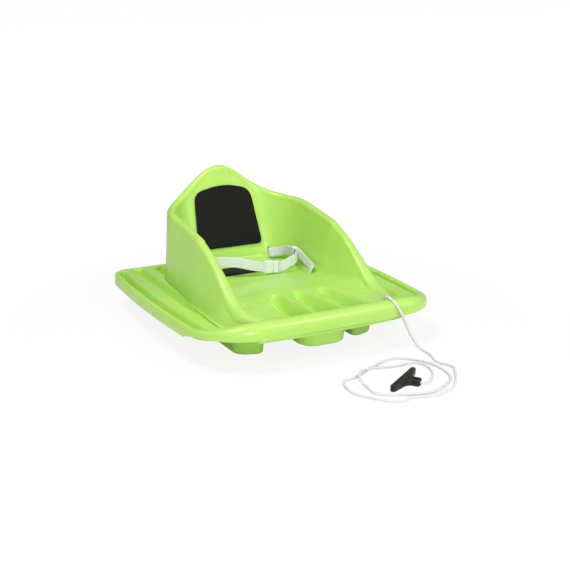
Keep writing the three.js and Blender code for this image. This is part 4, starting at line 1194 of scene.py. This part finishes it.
# %% Buckle
socket_at = buckle @ np.array(Matrix.Translation((socket_middle, 0, 0)))
plug_at = buckle @ np.array(Matrix.Translation((plug_middle, 0, 0)))
socket = block("buckle_socket_shell", SOCKET_LONG, 9.0, 25.0, 4.0, 1.6, socket_at)
cut(socket, [box_tool(SOCKET_LONG, 5.4, 21.4, socket_at, (6.8, 0, 0)),
             box_tool(10.0, 2.1, 20.7, socket_at, (-SOCKET_LONG / 2, 0, 0)),
             box_tool(1.5, 4.2, 21.0, socket_at, (-8.3, -4.0, 0)),
             box_tool(2.6, 1.2, 17.0, socket_at, (4.2, -4.7, 0))])
plug = block("buckle_plug_body", PLUG_LONG, 8.0, 24.0, 3.0, 1.5, plug_at)
cut(plug, [box_tool(10.0, 2.1, 20.7, plug_at, (PLUG_LONG / 2, 0, 0)),
           box_tool(1.5, 4.0, 20.4, plug_at, (4.1, -3.6, 0))])
for up in (-7.85, 7.85):
    prong = block("prong", 15.0, 3.0, 5.0, 1.6, 0.7, plug_at, (-PLUG_LONG / 2 - 5.5, 0, up))
    cut(plug, [prong], "UNION", "EXACT")
slider_inner = WEB_THICK * 2 + LAYER_GAP + SLACK * 2
slide = block("belt_slider", SLIDER_LONG, slider_inner + 4.0, 26.0, 2.0, 1.0, slider)
cut(slide, [box_tool(22.0, slider_inner, 20.7, slider)])
for piece in (socket, plug, slide):
    finished(piece, buckle_white, 35)
print("buckle", triangles(socket), triangles(plug), triangles(slide))

# %% [markdown]
# The left strap is sewn back on itself behind the socket, and two rows of stitches show there. Geometry
# nodes set one small stitch on every point of a short line across the strap, lying along it, and bake them
# as thread.

# %% Stitches
sewing, given, add, close = wire_tree("stitch_row", {"Count": 8, "Stitch": 0.0014, "Thread": 0.00022})
spaced = add("GeometryNodeResampleCurve", {"mode": "COUNT"},
             {"Curve": given["Geometry"], "Count": given["Count"]})
thread = add("GeometryNodeMeshCylinder", {},
             {"Vertices": 6, "Radius": given["Thread"], "Depth": given["Stitch"]})
tangent = add("GeometryNodeInputTangent")
facing = add("FunctionNodeAlignRotationToVector", {"axis": "Z"}, {"Vector": tangent.outputs[0]})
sewn = add("GeometryNodeInstanceOnPoints", {},
           {"Points": spaced.outputs[0], "Instance": thread.outputs["Mesh"],
            "Rotation": facing.outputs[0]})
close(sewn.outputs[0])


def stitch_rows(name, line, steps, side):
    """Rows of stitches across a strap, each at a step of its line."""
    rows = []
    way = np.gradient(line, axis=0)
    for at in steps:
        point, ahead = line[at], unit(way[at])
        across = unit(np.array((0.0, 0.0, 1.0)) - ahead * ahead[2])
        face = np.cross(across, ahead) * side * (WEB_THICK / 2 + 0.05)
        ends = np.array([point + face + across * u for u in (-8.0, 8.0)])
        rows.append(grow(line_curve(name + str(at), placed(ends)), sewing, {"Finish": webbing}))
    with bpy.context.temp_override(active_object=rows[0], selected_objects=rows,
                                   selected_editable_objects=rows, object=rows[0]):
        bpy.ops.object.join()
    rows[0].name = name
    return rows[0]


left_stitches = stitch_rows("belt_left_stitches", left_line, [8, 12], -1)
print("stitches", len(left_stitches.data.vertices))

# %% [markdown]
# The pull handle is a black bar that tapers to its ends, with a short stem at its middle. The rope runs
# into a hole in the stem's end, and its knot lies in an oval recess on top. A fine parting line runs round
# the handle at half its height, where the two halves of the mould met.

# %% Handle
half_bar, back_edge, front_edge = 48.0, -7.5, 7.5
handle_outline = rounded_outline([
    (back_edge, -half_bar, 3), (back_edge + 9, -half_bar, 3), (front_edge, -14, 4), (front_edge + 6, -8, 4),
    (stem_tip, -8, 5), (stem_tip, 8, 5), (front_edge + 6, 8, 4), (front_edge, 14, 4),
    (back_edge + 9, half_bar, 3),
    (back_edge, half_bar, 3)], 7)
handle_matrix = frame_at(handle_place, handle_along, handle_across, (0, 0, 1))
inward = -loop_normals(handle_outline)
side_profile = [(1.9, 0.0), (1.0, 0.25), (0.35, 0.9), (0.05, 1.9), (0.0, 5.5), (0.0, 5.85), (0.35, 5.95),
                (0.35, 6.05), (0.0, 6.15), (0.0, 6.5), (0.1, 10.0), (0.4, 11.0), (1.0, 11.7), (1.9, 12.0)]
points, faces = stacked_rings([level(handle_outline + inward * inset, z) for inset, z in side_profile])
handle = mesh_object("pull_handle_grip", turned(points, handle_matrix), faces)
pocket_middle = stem_tip - 5.0 - 6.0
oval = rounded_outline([(-6, -5, 5), (6, -5, 5), (6, 5, 5), (-6, 5, 5)], 8)
pocket_profile = [(0.9, 1.4), (1.0, 2.4), (1.0, 11.0), (1.12, 12.4)]
points, faces = stacked_rings([level(oval * scale + (pocket_middle, 0), z) for scale, z in pocket_profile])
bore_line = [at_handle(along, up=bore_height) for along in (pocket_middle, stem_tip - 2, stem_tip + 6)]
cut(handle,
    [mesh_object("pocket_tool", turned(points, handle_matrix), faces), bore_tool(bore_line, 3.2, 20)])
finished(handle, handle_black, 32)
print("handle", triangles(handle))

# %% [markdown]
# A knot is a lump of the same braid. One is pulled tight under the lip and a small one lies in the handle's
# recess. Each is the rope's line tied into a short overhand loop, swept with the same tree.

# %% Knots
def knot(name, centre, size):
    t = np.linspace(0, 2 * math.pi, 90)
    line = np.column_stack([np.sin(t) + 2 * np.sin(2 * t), np.cos(t) - 2 * np.cos(2 * t), -np.sin(3 * t)])
    thick = size * 0.30
    line = line / 3.0 * (size / 2 - thick / 2)
    line[:, 2] *= 1.15
    return swept(name, placed(line + centre), thick * MM, 12)


STOP_SIZE, END_SIZE = 12.0, 8.0
stop_knot = knot("rope_stop", rope_mm[0] - (0, 0, STOP_SIZE / 2 + SLACK), STOP_SIZE)
end_knot = knot("rope_end", at_handle(pocket_middle, up=bore_height), END_SIZE)
print("knots", len(stop_knot.data.vertices), len(end_knot.data.vertices))

# %% [markdown]
# The sled stands on a plain white studio floor. One lamp hangs overhead, three stand lower in front and at
# the right, and the world adds an even light. The floor is pale to every ray but the camera's, so it throws
# light up under the sled as a real floor does. To the camera it is a glow of its own with a thin share of
# the lit floor over it, which makes it white without more light on the sled and keeps the sled's own
# shadow.

# %% Studio
floor_mesh = bpy.data.meshes.new("studio_floor")
floor_mesh.from_pydata([(-9, -9, 0), (9, -9, 0), (9, 9, 0), (-9, 9, 0)], [], [(0, 1, 2, 3)])
floor = new_object("studio_floor", floor_mesh)
floor_white, shader, spot = new_finish("studio_floor", Roughness=0.9, Specular_IOR_Level=0.0)
ray = spot.node("ShaderNodeLightPath", output="Is Camera Ray")
far_off = spot.node("ShaderNodeVectorMath", {"operation": "LENGTH"}, {0: spot},
                    output="Value").clamped(0.5, 2.4)
feed(shader, ray.mixed(colour(0.88, 0.88, 0.88), colour(0.13, 0.13, 0.13)), "Base Color")
glow = ray.node("ShaderNodeEmission", {},
                {"Color": colour(1, 1, 1), "Strength": ray * (far_off * 0.5 + 0.87)})
both = glow.node("ShaderNodeAddShader", {}, {0: Wire(glow.tree, shader.outputs[0]), 1: glow})
feed(floor_white.node_tree.nodes["Material Output"], both, "Surface")
floor_mesh.materials.append(floor_white)

world = bpy.data.worlds.new("studio")
bpy.context.scene.world = world
world.use_nodes = True
tree = world.node_tree
paths = tree.nodes.new("ShaderNodeLightPath")
seen = Wire(tree, paths.outputs["Is Camera Ray"])
seen = seen.sum_of("MAXIMUM", seen, Wire(tree, paths.outputs["Is Transmission Ray"]))
feed(tree.nodes["Background"], seen * 0.70 + 0.30, "Strength")
tree.nodes["Background"].inputs["Color"].default_value = colour(1, 1, 1)


def lamp(name, place, size, power, aim=(0, 0, 0.1)):
    light = bpy.data.lights.new(name, "AREA")
    light.shape, light.size, light.energy = "DISK", size, power
    made = new_object(name, light)
    made.location = place
    made.rotation_euler = (Vector(aim) - Vector(place)).to_track_quat("-Z", "Y").to_euler()


lamp("overhead", (-0.8, -0.3, 2.1), 0.8, 28)
lamp("high_right", (1.0, -1.5, 1.9), 0.5, 12)
lamp("front", (-0.6, -2.9, 0.7), 0.7, 28)
lamp("right", (2.2, -1.2, 1.2), 0.9, 7)
bpy.context.scene.view_settings.view_transform = "Standard"
print("studio ready, lamps", len(bpy.data.lights))

# %% [markdown]
# Every piece is hung on the body of the frame that carries it, and the solids that it replaces are hidden.
# The strap in the plug crosses the buckle's joint, so it follows the plug at one end and the sled at the
# other.

# %% Pieces on the frame
for piece, body, slot_name, nodes in (
    (hull, "sled", "hull_plastic", ["hull_shell"]),
    (back_pad, "sled", "pad_foam", ["back_pad"]),
    (seat_pad, "sled", "pad_foam", ["seat_pad"]),
    (left_strap, "sled", "webbing", ["belt_strap_left"]),
    (left_stitches, "sled", "webbing", []),
    (back_strap, "sled", "webbing", ["belt_strap_back"]),
    (socket, "sled", "buckle_plastic", ["buckle_socket"]),
    (plug, "plug", "buckle_plastic", ["buckle_plug"]),
    (slide, "sled", "buckle_plastic", ["strap_slider"]),
    (rope, "sled", "rope", ["pull_rope"]),
    (stop_knot, "sled", "rope", ["rope_stop_knot"]),
    (end_knot, "sled", "rope", ["handle_knot"]),
    (handle, "sled", "handle_plastic", ["pull_handle"]),
):
    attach(piece, body)
    if nodes:
        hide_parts(*nodes)
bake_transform(right_strap, "plug", "sled", start=tuple(placed(right_places[1])),
         end=tuple(placed(right_places[5])))
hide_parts("belt_strap_right")
for name in ("strap_anchor_left", "strap_anchor_right"):
    finished(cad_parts[name], buckle_white)
print("pieces placed")
